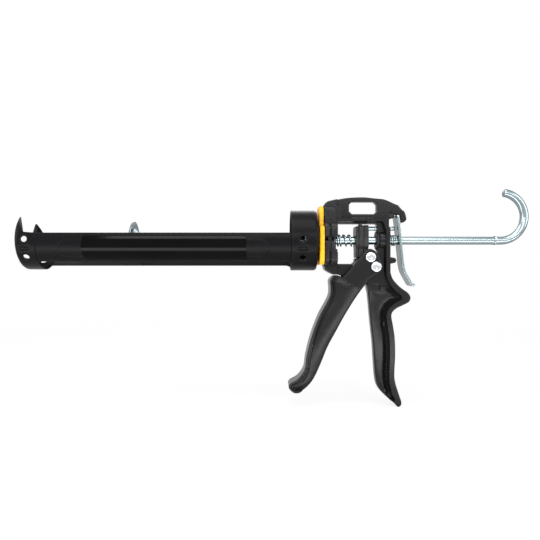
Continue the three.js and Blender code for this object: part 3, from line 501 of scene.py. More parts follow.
def turned(profile: Array, sides: int = 96, centre: Sequence[float] = (0, 0),
           axis: int = 0) -> tuple[Array, Array]:
    """Turns a closed profile of (place along the axis, radius) points about an axis.

    Args:
        profile: points round the section.
        sides: steps round the axis.
        centre: where the axis crosses the other two directions, in their order.
        axis: 0 for X, 1 for Y.

    Returns:
        Points and triangles.
    """
    angle = np.linspace(0, 2 * np.pi, sides, endpoint=False)
    p, r = profile[:, :1], profile[:, 1:]
    one = p + 0 * angle
    two = centre[0] + r * np.cos(angle)
    three = centre[1] + r * np.sin(angle)
    order = (one, two, three) if axis == 0 else (two, one, three)
    xyz = np.stack(order, -1).reshape(-1, 3)
    xyz, tris = weld(xyz, quads(len(profile), sides, True, True))
    return xyz, outward(xyz, tris)


def tube(line: Array, outward_way: Array, radius: Array | float, sides: int = 20, flat: Array | float = 1.0,
         dome: float = 0.5) -> tuple[Array, Array]:
    """Round bar along a line: at each point a ring of radius in the plane across the line. Its ends are
    domed, with rings that shrink as the cosine while they move out as the sine.

    Args:
        line: points along the middle.
        outward_way: a direction at each point that is square to the line.
        radius: radius at each point.
        sides: points round the bar.
        flat: factor on the width across outward_way, at each point.
        dome: how far the ends bulge, as a share of the radius.

    Returns:
        Points and triangles.
    """
    n = len(line)
    radius = np.broadcast_to(radius, (n,)).astype(float)
    flat = np.broadcast_to(flat, (n,)).astype(float)
    run = np.gradient(line, axis=0)
    run /= np.linalg.norm(run, axis=1)[:, None]
    side = np.cross(run, outward_way)
    side /= np.linalg.norm(side, axis=1)[:, None]
    up = np.cross(side, run)
    turn = np.radians([90, 65, 40, 20])
    first = line[0] - run[0] * radius[0] * dome * np.sin(turn)[:, None]
    last = line[-1] + run[-1] * radius[-1] * dome * np.sin(turn[::-1])[:, None]
    middle = np.vstack([first, line, last])
    shrink = np.concatenate([np.cos(turn) * radius[0], radius, np.cos(turn[::-1]) * radius[-1]])
    pad = (len(turn), len(turn))
    side, up = (np.pad(x, (pad, (0, 0)), "edge") for x in (side, up))
    flat = np.pad(flat, pad, "edge")
    angle = np.linspace(0, 2 * np.pi, sides, endpoint=False)[None, :, None]
    ring = up[:, None] * np.cos(angle) + side[:, None] * np.sin(angle) * flat[:, None, None]
    xyz = (middle[:, None] + ring * shrink[:, None, None]).reshape(-1, 3)
    xyz, tris = weld(xyz, quads(len(middle), sides, False, True))
    return xyz, outward(xyz, tris)


# Finishes


class Texture(Enum):
    """What the fine surface of a finish is like."""

    COAT = "coat"
    FILM = "film"
    MOULDED = "moulded"
    BRUSHED = "brushed"
    DRAWN = "drawn"


@dataclass(frozen=True)
class Finish:
    """A surface finish: its colours, gloss and grain, and for metals a painted shade at grazing angles that stands
    in for dark reflections at their rims.
    """

    slot: str
    colour: tuple[float, float, float]
    second: tuple[float, float, float]
    rough: tuple[float, float]
    texture: Texture
    metallic: float = 0.0
    grain: float = 900.0
    relief: float = 0.02
    wear: float = 0.0
    worn: tuple[float, float, float] = (0.12, 0.12, 0.125)
    specular: float = 0.5
    # Colour mixed in where a surface turns away from the view: painted shade that stands in for the dark
    # reflections along a metal's rims.
    painted_grazing_shade: tuple[float, float, float] | None = None


BARREL_PAINT = Finish(
    "barrel_paint", (0.003, 0.0028, 0.0033), (0.0045, 0.0042, 0.005), (0.3, 0.37), Texture.COAT,
    grain=1500, relief=0.003, wear=0.3, worn=(0.02, 0.019, 0.021), specular=0.08)
LABEL_FILM = Finish(
    "label_film", (0.001, 0.001, 0.0012), (0.0016, 0.0015, 0.0018), (0.08, 0.12), Texture.FILM,
    grain=160, relief=0.003, specular=0.07)
# The metals' last colour is painted shade at grazing angles, standing in for darker reflections at the rims of the
# rod, rivets and wire.
ZINC = Finish(
    "zinc_plate", (0.25, 0.31, 0.325), (0.34, 0.405, 0.42), (0.15, 0.22), Texture.BRUSHED, metallic=1.0,
    grain=700, relief=0.0006, painted_grazing_shade=(0.05, 0.075, 0.085))
PLASTIC = Finish(
    "black_plastic", (0.006, 0.006, 0.0065), (0.01, 0.01, 0.0105), (0.42, 0.55), Texture.MOULDED,
    grain=1800, relief=0.01, specular=0.2)
YELLOW = Finish(
    "yellow_plate", (0.8, 0.35, 0.004), (0.86, 0.39, 0.006), (0.28, 0.36), Texture.MOULDED,
    grain=700, relief=0.005, wear=0.25, worn=(0.93, 0.5, 0.06), specular=0.3)
CASTING = Finish(
    "black_casting", (0.0042, 0.004, 0.0046), (0.0068, 0.0064, 0.0072), (0.24, 0.32), Texture.COAT,
    grain=1100, relief=0.006, wear=0.5, worn=(0.03, 0.03, 0.032), specular=0.2)
CHROME = Finish(
    "bright_rivet", (0.7, 0.72, 0.74), (0.6, 0.62, 0.64), (0.1, 0.18), Texture.DRAWN, metallic=1.0,
    grain=500, relief=0.0006, painted_grazing_shade=(0.3, 0.31, 0.33))
BLACK_STEEL = Finish(
    "black_steel", (0.006, 0.006, 0.0065), (0.012, 0.0115, 0.0115), (0.32, 0.45), Texture.COAT,
    grain=1300, relief=0.008, wear=0.5, worn=(0.05, 0.05, 0.05), specular=0.2)
WIRE = Finish(
    "spring_wire", (0.44, 0.53, 0.55), (0.34, 0.42, 0.44), (0.12, 0.2), Texture.DRAWN, metallic=1.0,
    grain=900, relief=0.0006, painted_grazing_shade=(0.015, 0.02, 0.022))
FINISHES = (BARREL_PAINT, LABEL_FILM, ZINC, PLASTIC, YELLOW, CASTING, CHROME, BLACK_STEEL, WIRE)


def add_node(tree: bpy.types.NodeTree, kind: str, values: dict | None = None, feeds: dict | None = None,
             **settings: object) -> bpy.types.Node:
    """Adds a shader node.

    Args:
        tree: the node tree.
        kind: the node's type, without "ShaderNode" in front.
        values: constants for its inputs.
        feeds: outputs to link to its inputs.
        settings: what else is set on it, before its inputs are.

    Returns:
        The node.
    """
    node = tree.nodes.new("ShaderNode" + kind)
    for name, value in settings.items():
        setattr(node, name, value)
    for key, value in (values or {}).items():
        node.inputs[key].default_value = value
    for key, source in (feeds or {}).items():
        tree.links.new(source, node.inputs[key])
    return node


def mixed(tree: bpy.types.NodeTree, share: bpy.types.NodeSocket, first: tuple | bpy.types.NodeSocket,
          second: tuple[float, float, float]) -> bpy.types.NodeSocket:
    """Mixes two colours.

    Args:
        tree: the node tree.
        share: the second colour's share.
        first: a colour, or the output that gives it.
        second: a colour.

    Returns:
        The output that gives the mixture.
    """
    mix = add_node(tree, "Mix", {7: (*second, 1)}, {0: share}, data_type="RGBA")
    if isinstance(first, tuple):
        mix.inputs[6].default_value = (*first, 1)
    else:
        tree.links.new(first, mix.inputs[6])
    return mix.outputs[2]


def new_group(name: str, inputs: dict, outputs: Sequence[str]) -> tuple:
    """Starts a node group.

    Args:
        name: its name.
        inputs: the default of each input, a number or a vector.
        outputs: names of its outputs, which are all numbers.

    Returns:
        The group's tree, input node and output node.
    """
    tree = bpy.data.node_groups.new(name, "ShaderNodeTree")
    for key, value in inputs.items():
        kind = "NodeSocketVector" if isinstance(value, tuple) else "NodeSocketFloat"
        tree.interface.new_socket(key, in_out="INPUT", socket_type=kind).default_value = value
    for key in outputs:
        tree.interface.new_socket(key, in_out="OUTPUT", socket_type="NodeSocketFloat")
    return tree, tree.nodes.new("NodeGroupInput"), tree.nodes.new("NodeGroupOutput")


@dataclass
class Dresser:
    """Makes each finish's material once."""

    made: dict[Finish, bpy.types.Material] = field(default_factory=dict)
    groups: dict[str, bpy.types.NodeTree] = field(default_factory=dict)

    def grain_group(self) -> bpy.types.NodeTree:
        """Node group: a cloudy tone and a fine grain, of a given scale and stretch."""
        if "grain" in self.groups:
            return self.groups["grain"]
        tree, into, out = new_group("surface_grain", {"Scale": 900, "Stretch": (1, 1, 1)}, ("Tone", "Grain"))
        place, stretch = add_node(tree, "TexCoord").outputs["Object"], into.outputs["Stretch"]
        at = add_node(tree, "VectorMath", feeds={0: place, 1: stretch}, operation="MULTIPLY").outputs[0]
        cloud = add_node(tree, "TexNoise", {"Scale": 26, "Detail": 5, "Roughness": 0.6}, {"Vector": at})
        fine = add_node(tree, "TexNoise", {"Detail": 3}, {"Vector": at, "Scale": into.outputs["Scale"]})
        tree.links.new(cloud.outputs["Fac"], out.inputs["Tone"])
        tree.links.new(fine.outputs["Fac"], out.inputs["Grain"])
        self.groups["grain"] = tree
        return tree

    def wear_group(self) -> bpy.types.NodeTree:
        """Node group: a mask that is strongest along a piece's edges, broken up by noise."""
        if "wear" in self.groups:
            return self.groups["wear"]
        tree, into, out = new_group("edge_wear", {"Amount": 0.5}, ("Mask",))
        edge = add_node(tree, "Attribute", attribute_name="edge").outputs["Fac"]
        place = add_node(tree, "TexCoord").outputs["Object"]
        noise = add_node(tree, "TexNoise", {"Scale": 140, "Detail": 4}, {"Vector": place})
        broken = add_node(tree, "MapRange", NOISE_RANGE, {"Value": noise.outputs["Fac"]})
        product = add_node(tree, "Math", feeds={0: edge, 1: broken.outputs["Result"]}, operation="MULTIPLY")
        scaled = add_node(tree, "Math", feeds={0: product.outputs[0], 1: into.outputs["Amount"]},
                          operation="MULTIPLY", use_clamp=True)
        tree.links.new(scaled.outputs[0], out.inputs["Mask"])
        self.groups["wear"] = tree
        return tree

    def material(self, finish: Finish) -> bpy.types.Material:
        """The material of a finish.

        Args:
            finish: colours, gloss and grain.

        Returns:
            The one material made for it.
        """
        if finish in self.made:
            return self.made[finish]
        material = bpy.data.materials.new(finish.slot)
        material.use_nodes = True
        tree = material.node_tree
        shader = tree.nodes["Principled BSDF"]
        shader.inputs["Metallic"].default_value = finish.metallic
        shader.inputs["Specular IOR Level"].default_value = finish.specular
        drawn = {Texture.BRUSHED: (0.08, 1, 1), Texture.DRAWN: (0.3, 1, 1)}
        stretch = drawn.get(finish.texture, (1, 1, 1))
        grain = add_node(tree, "Group", {"Scale": finish.grain, "Stretch": stretch},
                         node_tree=self.grain_group())
        contrast = add_node(tree, "MapRange", NOISE_RANGE, {"Value": grain.outputs["Tone"]})
        colour = mixed(tree, contrast.outputs["Result"], finish.colour, finish.second)
        if finish.wear > 0:
            wear = add_node(tree, "Group", {"Amount": finish.wear}, node_tree=self.wear_group())
            colour = mixed(tree, wear.outputs["Mask"], colour, finish.worn)
        # Painted shade: the base colour darkens as the surface turns away from the view, standing in for dark
        # reflections at the rims.
        if finish.painted_grazing_shade:
            facing = add_node(tree, "LayerWeight").outputs["Facing"]
            edge = add_node(tree, "MapRange", {"From Min": 0.3, "From Max": 0.75}, {"Value": facing})
            colour = mixed(tree, edge.outputs["Result"], colour, finish.painted_grazing_shade)
        tree.links.new(colour, shader.inputs["Base Color"])
        source = "Grain" if finish.texture in (Texture.BRUSHED, Texture.DRAWN) else "Tone"
        low, high = finish.rough
        gloss = add_node(tree, "MapRange", {**NOISE_RANGE, "To Min": low, "To Max": high},
                         {"Value": grain.outputs[source]})
        tree.links.new(gloss.outputs["Result"], shader.inputs["Roughness"])
        bump = add_node(tree, "Bump", {"Strength": 1.0, "Distance": finish.relief * MM},
                        {"Height": grain.outputs["Grain"]})
        tree.links.new(bump.outputs["Normal"], shader.inputs["Normal"])
        self.made[finish] = material
        return material


DRESSER = Dresser()


def add_piece(name: str, shape: Sequence[Array], finish: Finish, body: Body,
              nodes: Sequence[str]) -> bpy.types.Object:
    """Makes an object from points and triangles in mm, dresses it and lets it ride on a body.

    Args:
        name: name of the piece.
        shape: points, triangles and, where known, the nearness of an edge at each point.
        finish: its finish.
        body: the body it moves with.
        nodes: CAD nodes that it stands for.

    Returns:
        The object.
    """
    xyz, tris = shape[0], shape[1]
    mesh = bpy.data.meshes.new(name)
    mesh.from_pydata(((xyz + ROD_ORIGIN) * MM).tolist(), [], tris.tolist())
    mesh.update()
    if len(shape) > 2:
        edge = mesh.attributes.new("edge", "FLOAT", "POINT")
        edge.data.foreach_set("value", shape[2].astype(np.float32))
    mesh.shade_smooth()
    mesh.set_sharp_from_angle(angle=SMOOTH_ANGLE)
    piece = bpy.data.objects.new(name, mesh)
    bpy.context.scene.collection.objects.link(piece)
    mesh.materials.append(None)
    piece.material_slots[0].link = "OBJECT"
    piece.material_slots[0].material = DRESSER.material(finish)
    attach(piece, body.value)
    if nodes:
        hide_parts(*nodes)
    log.info("%s: %d triangles", name, len(tris))
    return piece


# Barrel


@dataclass
class Barrel:
    """Front cap, cradle, collar and label films, all turned together a little about the rod's axis."""

    radius: float = 28.0
    wall: float = 1.2
    plate: float = 1.5
    roll: float = 6.4
    corner: float = 2.6
    cap_corner: float = 4.2
    cap_bulge: float = 1.0
    edge: float = 0.4
    front: float = -234.2
    cap_depth: float = 18.1
    cradle_start: float = -230.1
    joggle: float = 5.0
    collar_radius: float = 28.9
    collar_front: float = 19.8
    collar_length: float = 24.6
    tongue: float = 12.0
    gap: float = 0.3
    panel_top: float = 5.8
    horn_height: float = 19.7
    horn_half: float = 16.1
    horn_flank: float = 8.6
    nozzle_radius: float = 16.2
    nozzle_drop: float = 3.9
    throat_half: float = 10.7
    throat_height: float = 8.1
    bottom_half: float = 16.3
    bottom_front: float = -218.2
    bottom_corner: float = 4.5
    bore: float = 11.3
    stake_radius: float = 3.05
    stake_angles: tuple[float, float] = (-6.3, -44.0)
    cap_stake: float = 8.4
    collar_stake: float = 10.7
    field_angle: float = -24.3
    field_ends: tuple[float, float] = (-195.3, -0.4)
    field_half: float = 8.6
    field_rise: float = 0.4
    label_front: float = -173.4
    label_length: float = 151.6
    label_angles: tuple[float, float] = (-48.0, 0.0)
    label_bow: float = 2.6
    label_thickness: float = 0.2
    label_edge: float = 0.08
    label_soft: float = 4.0
    line_ends: tuple[float, float] = (-260.0, 60.0)
    stake_press: float = 0.75
    slot_reach: float = 2.9
    slot_half: float = 1.55
    slot_press: float = 0.32
    slot_soft: float = 0.42
    field_lead: float = 0.1
    field_slope: float = 1.1

    @property
    def middle(self) -> float:
        """Radius of the middle of the wall."""
        return self.radius - self.wall / 2

    def cup_middle(self, face: float) -> float:
        """Radius of the middle of a cup's wall: the collar's, at the back, is wider than the cap's."""
        return (self.collar_radius if face > 0 else self.radius) - self.wall / 2

    @property
    def cap_face(self) -> float:
        """Place of the cap's face, which bulges a little beyond its rim."""
        return self.front - self.cap_bulge

    def bend(self, face: float) -> float:
        """Radius of the middle of a cup's bend."""
        return (self.corner if face > 0 else self.cap_corner) - self.wall / 2

    def build(self) -> None:
        """Makes all pieces of the barrel."""
        cap = self.cup(self.cap_plan(), self.cap_face, 1)
        add_piece("front_cap_cup", cap, BARREL_PAINT, Body.BARREL, ["front_cap"])
        add_piece("cradle_sheet", self.cradle(), BARREL_PAINT, Body.BARREL, ["cradle"])
        back = self.collar_front + self.collar_length
        add_piece("collar_cup", self.cup(self.collar_plan(), back, -1), BARREL_PAINT, Body.BARREL, ["collar"])
        add_piece("label_film_near", self.label(0), LABEL_FILM, Body.BARREL, ["label_near"])
        add_piece("label_film_far", self.label(1), LABEL_FILM, Body.BARREL, ["label_far"])

    def round_barrel(self, x: Array, radius: Array, angle: Array) -> Array:
        """Places points at a radius and an angle round the barrel. The angle, in radians, is 0 on the near
        side and grows towards the top, and the roll is added to it."""
        world = angle + math.radians(self.roll)
        return np.column_stack([x, -radius * np.cos(world), radius * np.sin(world)])

    def cup_profile(self, s: Array, face: float, way: int) -> tuple[Array, Array, Array, Array]:
        """Middle surface of a pressed cup at a distance s along its section from the axis: flat, then a
        quarter circle, then straight along the barrel.

        Args:
            s: distances along the section.
            face: where the outside of the flat face is.
            way: 1 if the skirt runs towards +X from the face, -1 if towards -X.

        Returns:
            Place along X, radius, and the outward normal's two parts there.
        """
        bend = self.bend(face)
        flat = self.cup_middle(face) - bend
        angle = np.clip((s - flat) / bend, 0, np.pi / 2)
        straight = np.maximum(s - flat - bend * np.pi / 2, 0)
        inward = self.wall / 2 + bend * (1 - np.cos(angle)) + straight
        radius = np.minimum(s, flat) + bend * np.sin(angle)
        return face + way * inward, radius, -way * np.cos(angle), np.sin(angle)

    def cup_reach(self, x: float, face: float) -> float:
        """Distance along a cup's section to a place on its skirt."""
        bend = self.bend(face)
        return self.cup_middle(face) - bend + bend * np.pi / 2 + abs(x - face) - bend - self.wall / 2

    def on_cup(self, x: Array, degrees: Array, face: float) -> Array:
        """Plan place of points on a cup's skirt."""
        s, angle = self.cup_reach(x, face), np.radians(degrees)
        return np.column_stack([s * np.cos(angle), s * np.sin(angle)])

    def turn_from(self, angle: Array, degrees: float) -> Array:
        """Shortest turn, in radians, from an angle given in degrees."""
        return np.remainder(angle - math.radians(degrees) + np.pi, 2 * np.pi) - np.pi

    def stakes(self, x: float) -> list[tuple[float, float]]:
        """Places of the four stake holes of one ring, as X and degrees."""
        return [(x, angle) for level in self.stake_angles for angle in (level, 180 - level)]

    def cup_stakes(self, x: float, face: float) -> list[Array]:
        """Plan outlines of a cup's stake holes."""
        loops = []
        for centre, angle in self.stakes(x):
            ring = circle((0, 0), self.stake_radius - 0.25, 28)
            turn = angle + np.degrees(ring[:, 1] / self.cup_middle(face))
            loops.append(self.on_cup(centre + ring[:, 0], turn, face))
        return loops

    def cup(self, plan: Plan, face: float, way: int) -> tuple[Array, Array, Array]:
        """Pressed cup over a plan that is its section unrolled from the axis.

        Args:
            plan: the plan, in distances along the section.
            face: where the outside of the flat face is.
            way: which way the skirt runs.

        Returns:
            Points, triangles and edge nearness.
        """
        stake_x = self.front + self.cap_stake if way > 0 else self.collar_front + self.collar_stake

        def dent(uv: Array) -> Array:
            """How far the sheet is pressed in: soft rims round the stake holes, and a narrow groove round
            a small field between them."""
            s, angle = np.linalg.norm(uv, axis=1), np.arctan2(uv[:, 1], uv[:, 0])
            x, radius, _, _ = self.cup_profile(s, face, way)
            on_skirt = smooth((s - self.cup_middle(face)) / 3)
            out = np.zeros(len(uv))
            for centre, degrees in self.stakes(stake_x):
                turn = self.turn_from(angle, degrees)
                d = np.hypot(x - centre, turn * radius) - self.stake_radius
                out += self.stake_press * np.exp(-(np.maximum(d, 0) / self.stake_press)**2)
            for degrees in (self.field_angle, 180 - self.field_angle):
                turn = self.turn_from(angle, degrees)
                along = np.maximum(np.abs(x - stake_x) - self.slot_reach, 0)
                d = np.abs(np.hypot(along, turn * radius) - self.slot_half)
                out += self.slot_press * np.exp(-(d / self.slot_soft)**2)
            return out * on_skirt

        def half(uv: Array) -> Array:
            """Half the wall's thickness, rounded at the edges."""
            return self.wall / 2 - quarter(plan.edge_distance(uv), self.edge)

        def place(u: Array, v: Array, w: Array) -> Array:
            """Takes a plan place and height to the cup."""
            s, angle = np.hypot(u, v), np.arctan2(v, u)
            x, radius, out_x, out_r = self.cup_profile(s, face, way)
            return self.round_barrel(x + w * out_x, radius + w * out_r, angle)

        return slab(plan, lambda uv: half(uv) - dent(uv), lambda uv: -half(uv) - dent(uv), place)

    def cap_plan(self) -> Plan:
        """Plan of the front cap: a cup with a keyhole, two horns and an open top."""
        back = self.front + self.cap_depth
        slope = (self.horn_height - self.radius * math.sin(math.radians(self.panel_top))) / self.horn_flank
        start = math.hypot(self.horn_half, self.horn_height)
        s = np.linspace(start, self.cup_reach(self.front + self.horn_flank, self.cap_face), 24)
        x, radius, out_x, out_r = self.cup_profile(s, self.cap_face, 1)
        height = self.horn_height - slope * np.maximum(x + out_x * self.wall / 2 - self.front, 0)
        angle = np.arcsin(np.clip(height / (radius + out_r * self.wall / 2), -1, 1))
        flank = np.column_stack([s * np.cos(angle), s * np.sin(angle)])
        flank[0] = (self.horn_half, self.horn_height)
        side = np.linspace(180 - self.panel_top, 360 + self.panel_top, 120)
        back_edge = self.on_cup(np.full(len(side), back), side, self.cap_face)
        mirror = np.array([-1, 1])
        ratio = (self.horn_height - self.throat_height) / (self.horn_half - self.throat_half)
        meet = self.keyhole_meet(ratio)
        turn = math.degrees(math.atan2(meet[1] + self.nozzle_drop, meet[0]))
        hole = arc((0, -self.nozzle_drop), self.nozzle_radius, turn, -180 - turn, 64)
        tip = np.array([[self.horn_half + 0.25, self.horn_height - 0.15]])
        outer = np.vstack([tip, hole, tip * mirror, flank[1:-1] * mirror, back_edge, flank[-2:0:-1]])
        holes = self.cup_stakes(self.front + self.cap_stake, self.cap_face)
        return Plan(outer, holes, self.edge, self.cup_lines(1), 1.0, 1.7)

    def keyhole_meet(self, ratio: float) -> tuple[float, float]:
        """Where the sloping side of the keyhole's mouth meets its round part: the root of the circle's
        equation along the slope."""
        low = self.throat_height - ratio * self.throat_half + self.nozzle_drop
        a, b, c = 1 + ratio**2, 2 * ratio * low, low**2 - self.nozzle_radius**2
        u = (-b + math.sqrt(b * b - 4 * a * c)) / (2 * a)
        return u, ratio * u + low - self.nozzle_drop

    def cup_lines(self, way: int) -> list[tuple[Array, Sequence[float]]]:
        """Feature lines on a cup: rings round the bend, round each stake hole and round each small field."""
        face = self.cap_face if way > 0 else self.collar_front + self.collar_length
        x = self.front + self.cap_stake if way > 0 else self.collar_front + self.collar_stake
        bend = self.bend(face)
        flat = self.cup_middle(face) - bend
        rows = tuple(bend * np.pi / 8 * k for k in range(-2, 3))
        lines = [(circle((0, 0), flat + bend * np.pi / 4, 150), rows)]
        for loop in self.cup_stakes(x, face):
            lines.append((loop, (-0.5, -0.9, -1.4, -2.0)))
        for degrees in (self.field_angle, 180 - self.field_angle):
            half = self.slot_half
            reach = self.slot_reach + half
            ends = rounded(rectangle(x - reach, -half, x + reach, half), half - 0.01, 6)
            turn = degrees + np.degrees(ends[:, 1] / self.cup_middle(face))
            lines.append((self.on_cup(ends[:, 0], turn, face), (-0.8, -0.4, 0, 0.4, 0.8)))
        return lines

    def collar_plan(self) -> Plan:
        """Plan of the collar: a full cup with a bore."""
        face = self.collar_front + self.collar_length
        outer = circle((0, 0), self.cup_reach(self.collar_front, face), 240)
        holes = [circle((0, 0), self.bore, 72), *self.cup_stakes(self.collar_front + self.collar_stake, face)]
        return Plan(outer, holes, self.edge, self.cup_lines(-1), 1.1, 1.8)

    @property
    def joggles(self) -> tuple[float, float]:
        """The two places along X where the sheet's radius changes, at the cap and at the collar."""
        return self.front + self.cap_depth - self.gap, self.collar_front + self.gap

    def field_box(self, ends: tuple[float, float], degrees: float) -> Array:
        """A rectangle on the unrolled sheet, between two places along X and as wide as the raised field."""
        centre = self.radius * math.radians(degrees)
        return rectangle(ends[0], centre - self.field_half, ends[1], centre + self.field_half)

    def sheet_radius(self, uv: Array, soft: float = 0) -> Array:
        """Middle radius of the cradle's sheet: smaller in the cap and a little smaller in the collar, full
        between them, and raised in a long field with round ends on each side.

        Args:
            uv: places on the unrolled sheet.
            soft: how much further out the rise to the field starts.

        Returns:
            The radius at each place.
        """
        x, turn = uv[:, 0], uv[:, 1] / self.radius
        rise, fall = self.joggles
        drop, run = self.wall + self.gap, self.joggle / 2
        radius = self.middle - drop * (1 - smooth((x - rise) / run + 0.5))
        radius -= (drop - self.collar_radius + self.radius) * (1 - smooth((fall - x) / run + 0.5))
        for degrees in (self.field_angle, -180 - self.field_angle):
            inner = self.field_depth(x, turn, degrees)
            share = (inner + self.field_lead + soft) / (self.field_slope + soft)
            radius += self.field_rise * smooth(share)
        return radius

    def field_depth(self, x: Array, turn: Array, degrees: float) -> Array:
        """How far inside the raised field's round-ended outline a place on the sheet is."""
        low, high = self.field_ends
        across = (turn - math.radians(degrees)) * self.radius
        middle = np.clip(x, low + self.field_half, high - self.field_half)
        return self.field_half - np.hypot(x - middle, across)

    def cradle(self) -> tuple[Array, Array, Array]:
        """The part tube between cap and collar, open above and below, over a plan unrolled from the
        barrel."""
        end = self.collar_front + self.tongue
        top = self.radius * math.radians(self.panel_top)
        low = -self.radius * math.radians(180 + self.panel_top)
        outer = rounded(rectangle(self.cradle_start, low, end, top), 1.5)
        under = -self.radius * np.pi / 2
        half = self.radius * math.asin(self.bottom_half / self.radius)
        rear = self.collar_front - self.gap
        opening = rectangle(self.bottom_front, under - half, rear, under + half)
        holes = [rounded(opening, self.bottom_corner, 8)]
        for ring_x in (self.front + self.cap_stake, self.collar_front + self.collar_stake):
            for x, angle in self.stakes(ring_x):
                turn = angle if angle < 90 else angle - 360
                holes.append(circle((x, self.radius * math.radians(turn)), self.stake_radius - 0.1, 28))
        shares = (-0.5, -0.25, -0.17, -0.08, 0, 0.08, 0.17, 0.25, 0.5)
        rows = tuple(self.joggle * share for share in shares)
        lines = [(rectangle(x, low - 2, x + 0.01, top + 2), rows) for x in self.joggles]
        for degrees in (self.field_angle, -180 - self.field_angle):
            outline = rounded(self.field_box(self.field_ends, degrees), self.field_half - 0.01, 14)
            lines.append((outline, (-0.2, 0.1, 0.3, 0.5, 0.7, 1.0, 1.3)))
        plan = Plan(outer, holes, self.edge, lines, 1.4, 2.6)

        def place(u: Array, v: Array, w: Array) -> Array:
            """Rolls the plan round the barrel."""
            return self.round_barrel(u, self.sheet_radius(np.column_stack([u, v])) + w, v / self.radius)

        return even_slab(plan, self.wall / 2, place)

    def label(self, side: int) -> tuple[Array, Array, Array]:
        """Glossy film that lies on the sheet and follows its raised field.

        Args:
            side: 0 for the near side, 1 for the far side.

        Returns:
            Points, triangles and edge nearness.
        """
        low, high = (self.radius * math.radians(a) for a in self.label_angles)
        end = self.label_front + self.label_length
        bow = np.linspace(1, -1, 15)[1:-1]
        left = np.column_stack([self.label_front + self.label_bow * bow**2,
                                (low + high) / 2 + bow * (high - low) / 2])
        outline = np.vstack([[(self.label_front + self.label_bow, low), (end, low), (end, high),
                              (self.label_front + self.label_bow, high)], left])
        edges = self.field_box(self.line_ends, self.field_angle)
        plan = Plan(outline, (), self.label_edge, [(edges, (0.1, 0.4, 0.7, 1.0))], 1.6, 2.6)
        above = self.wall / 2 + 0.05

        def place(u: Array, v: Array, w: Array) -> Array:
            """Lays the film on the sheet, mirrored for the far side."""
            sheet = self.sheet_radius(np.column_stack([u, v]), self.label_soft) + above + w
            turn = v / self.radius
            return self.round_barrel(u, sheet, turn if side == 0 else -np.pi - turn)

        def thick(uv: Array) -> Array:
            """The film's upper face, thinned at its edge."""
            return self.label_thickness - quarter(plan.edge_distance(uv), self.label_edge)

        return slab(plan, thick, lambda uv: np.zeros(len(uv)), place)


# Rod and piston


@dataclass
class PushRod:
    """The push rod with its crimped ears, its hook and its threaded end, and the nut on that end."""

    shoulder: float = -126.7
    hook_start: float = 222.5
    hook_radius: float = 23.2
    hook_turn: float = 170.0
    radius: float = 4.0
    crimp_inset: float = 5.7
    crimp_reach: float = 4.4
    stud_radius: float = 2.5
    thread_pitch: float = 0.8
    thread_depth: float = 0.35
    thread_sides: int = 36
    crimp_half: float = 1.1
    crimp_flat: float = 0.36
    nut_radius: float = 4.6

    def build(self) -> None:
        """Makes the rod, its threaded end and the nut."""
        add_piece("push_rod_bar", self.bar(), ZINC, Body.ROD, ["push_rod"])
        add_piece("rod_thread", self.thread(), ZINC, Body.ROD, ["push_rod"])
        add_piece("piston_nut_hex", self.nut(), ZINC, Body.ROD, ["piston_nut"])

    def bar(self) -> tuple[Array, Array]:
        """Straight bar that bends into a hook. Near the hook two ears stand out where it is crimped."""
        x = np.concatenate([[self.shoulder, self.shoulder + 0.3, self.shoulder + 0.7],
                            np.linspace(self.shoulder + 8, self.hook_start - 14, 30),
                            np.linspace(self.hook_start - 12, self.hook_start, 40)])
        straight = np.column_stack([x, 0 * x, 0 * x])
        angle = np.radians(np.linspace(0, self.hook_turn, 90))[1:]
        bend = np.column_stack([self.hook_start + self.hook_radius * np.sin(angle), 0 * angle,
                                self.hook_radius * (1 - np.cos(angle))])
        line = np.vstack([straight, bend])
        up = np.vstack([np.tile([0, 0, 1.0], (len(x), 1)),
                        np.column_stack([-np.sin(angle), 0 * angle, np.cos(angle)])])
        from_crimp = (line[:, 0] - self.hook_start + self.crimp_inset) / self.crimp_half
        ear = np.exp(-from_crimp**4) * (line[:, 2] < 1)
        radius = self.radius + (self.crimp_reach - self.radius) * ear
        radius[:2] = (self.radius - 0.7, self.radius - 0.3)
        return tube(line, up, radius, 32, 1 - self.crimp_flat * ear, 0.35)

    def thread(self) -> tuple[Array, Array]:
        """Threaded end: its radius rises and falls once for each turn along and round the bar."""
        low, _ = span("push_rod")
        x = np.linspace(low[0], self.shoulder + 1, 150)[:, None]
        sides = self.thread_sides
        angle = np.linspace(0, 2 * np.pi, sides, endpoint=False)[None]
        wave = np.abs(np.remainder(x / self.thread_pitch - angle / (2 * np.pi), 1) - 0.5) * 2
        taper = np.minimum((x - low[0]) / 0.6, 1)
        r = (self.stud_radius - self.thread_depth * wave) * (0.75 + 0.25 * taper)
        body = np.stack([x + 0 * angle, r * np.cos(angle), r * np.sin(angle)], -1)
        ends = np.stack([body[0].mean(0), body[-1].mean(0)])
        whole = np.concatenate([np.tile(ends[0], (1, sides, 1)), body, np.tile(ends[1], (1, sides, 1))])
        xyz, tris = weld(whole.reshape(-1, 3), quads(len(whole), sides, False, True))
        return xyz, outward(xyz, tris)

    def nut(self) -> tuple[Array, Array]:
        """Hexagonal nut whose corners are turned down at both ends."""
        low, high = span("piston_nut")
        return hex_nut(low[0], high[0], self.nut_radius * math.cos(math.pi / 6), self.stud_radius)


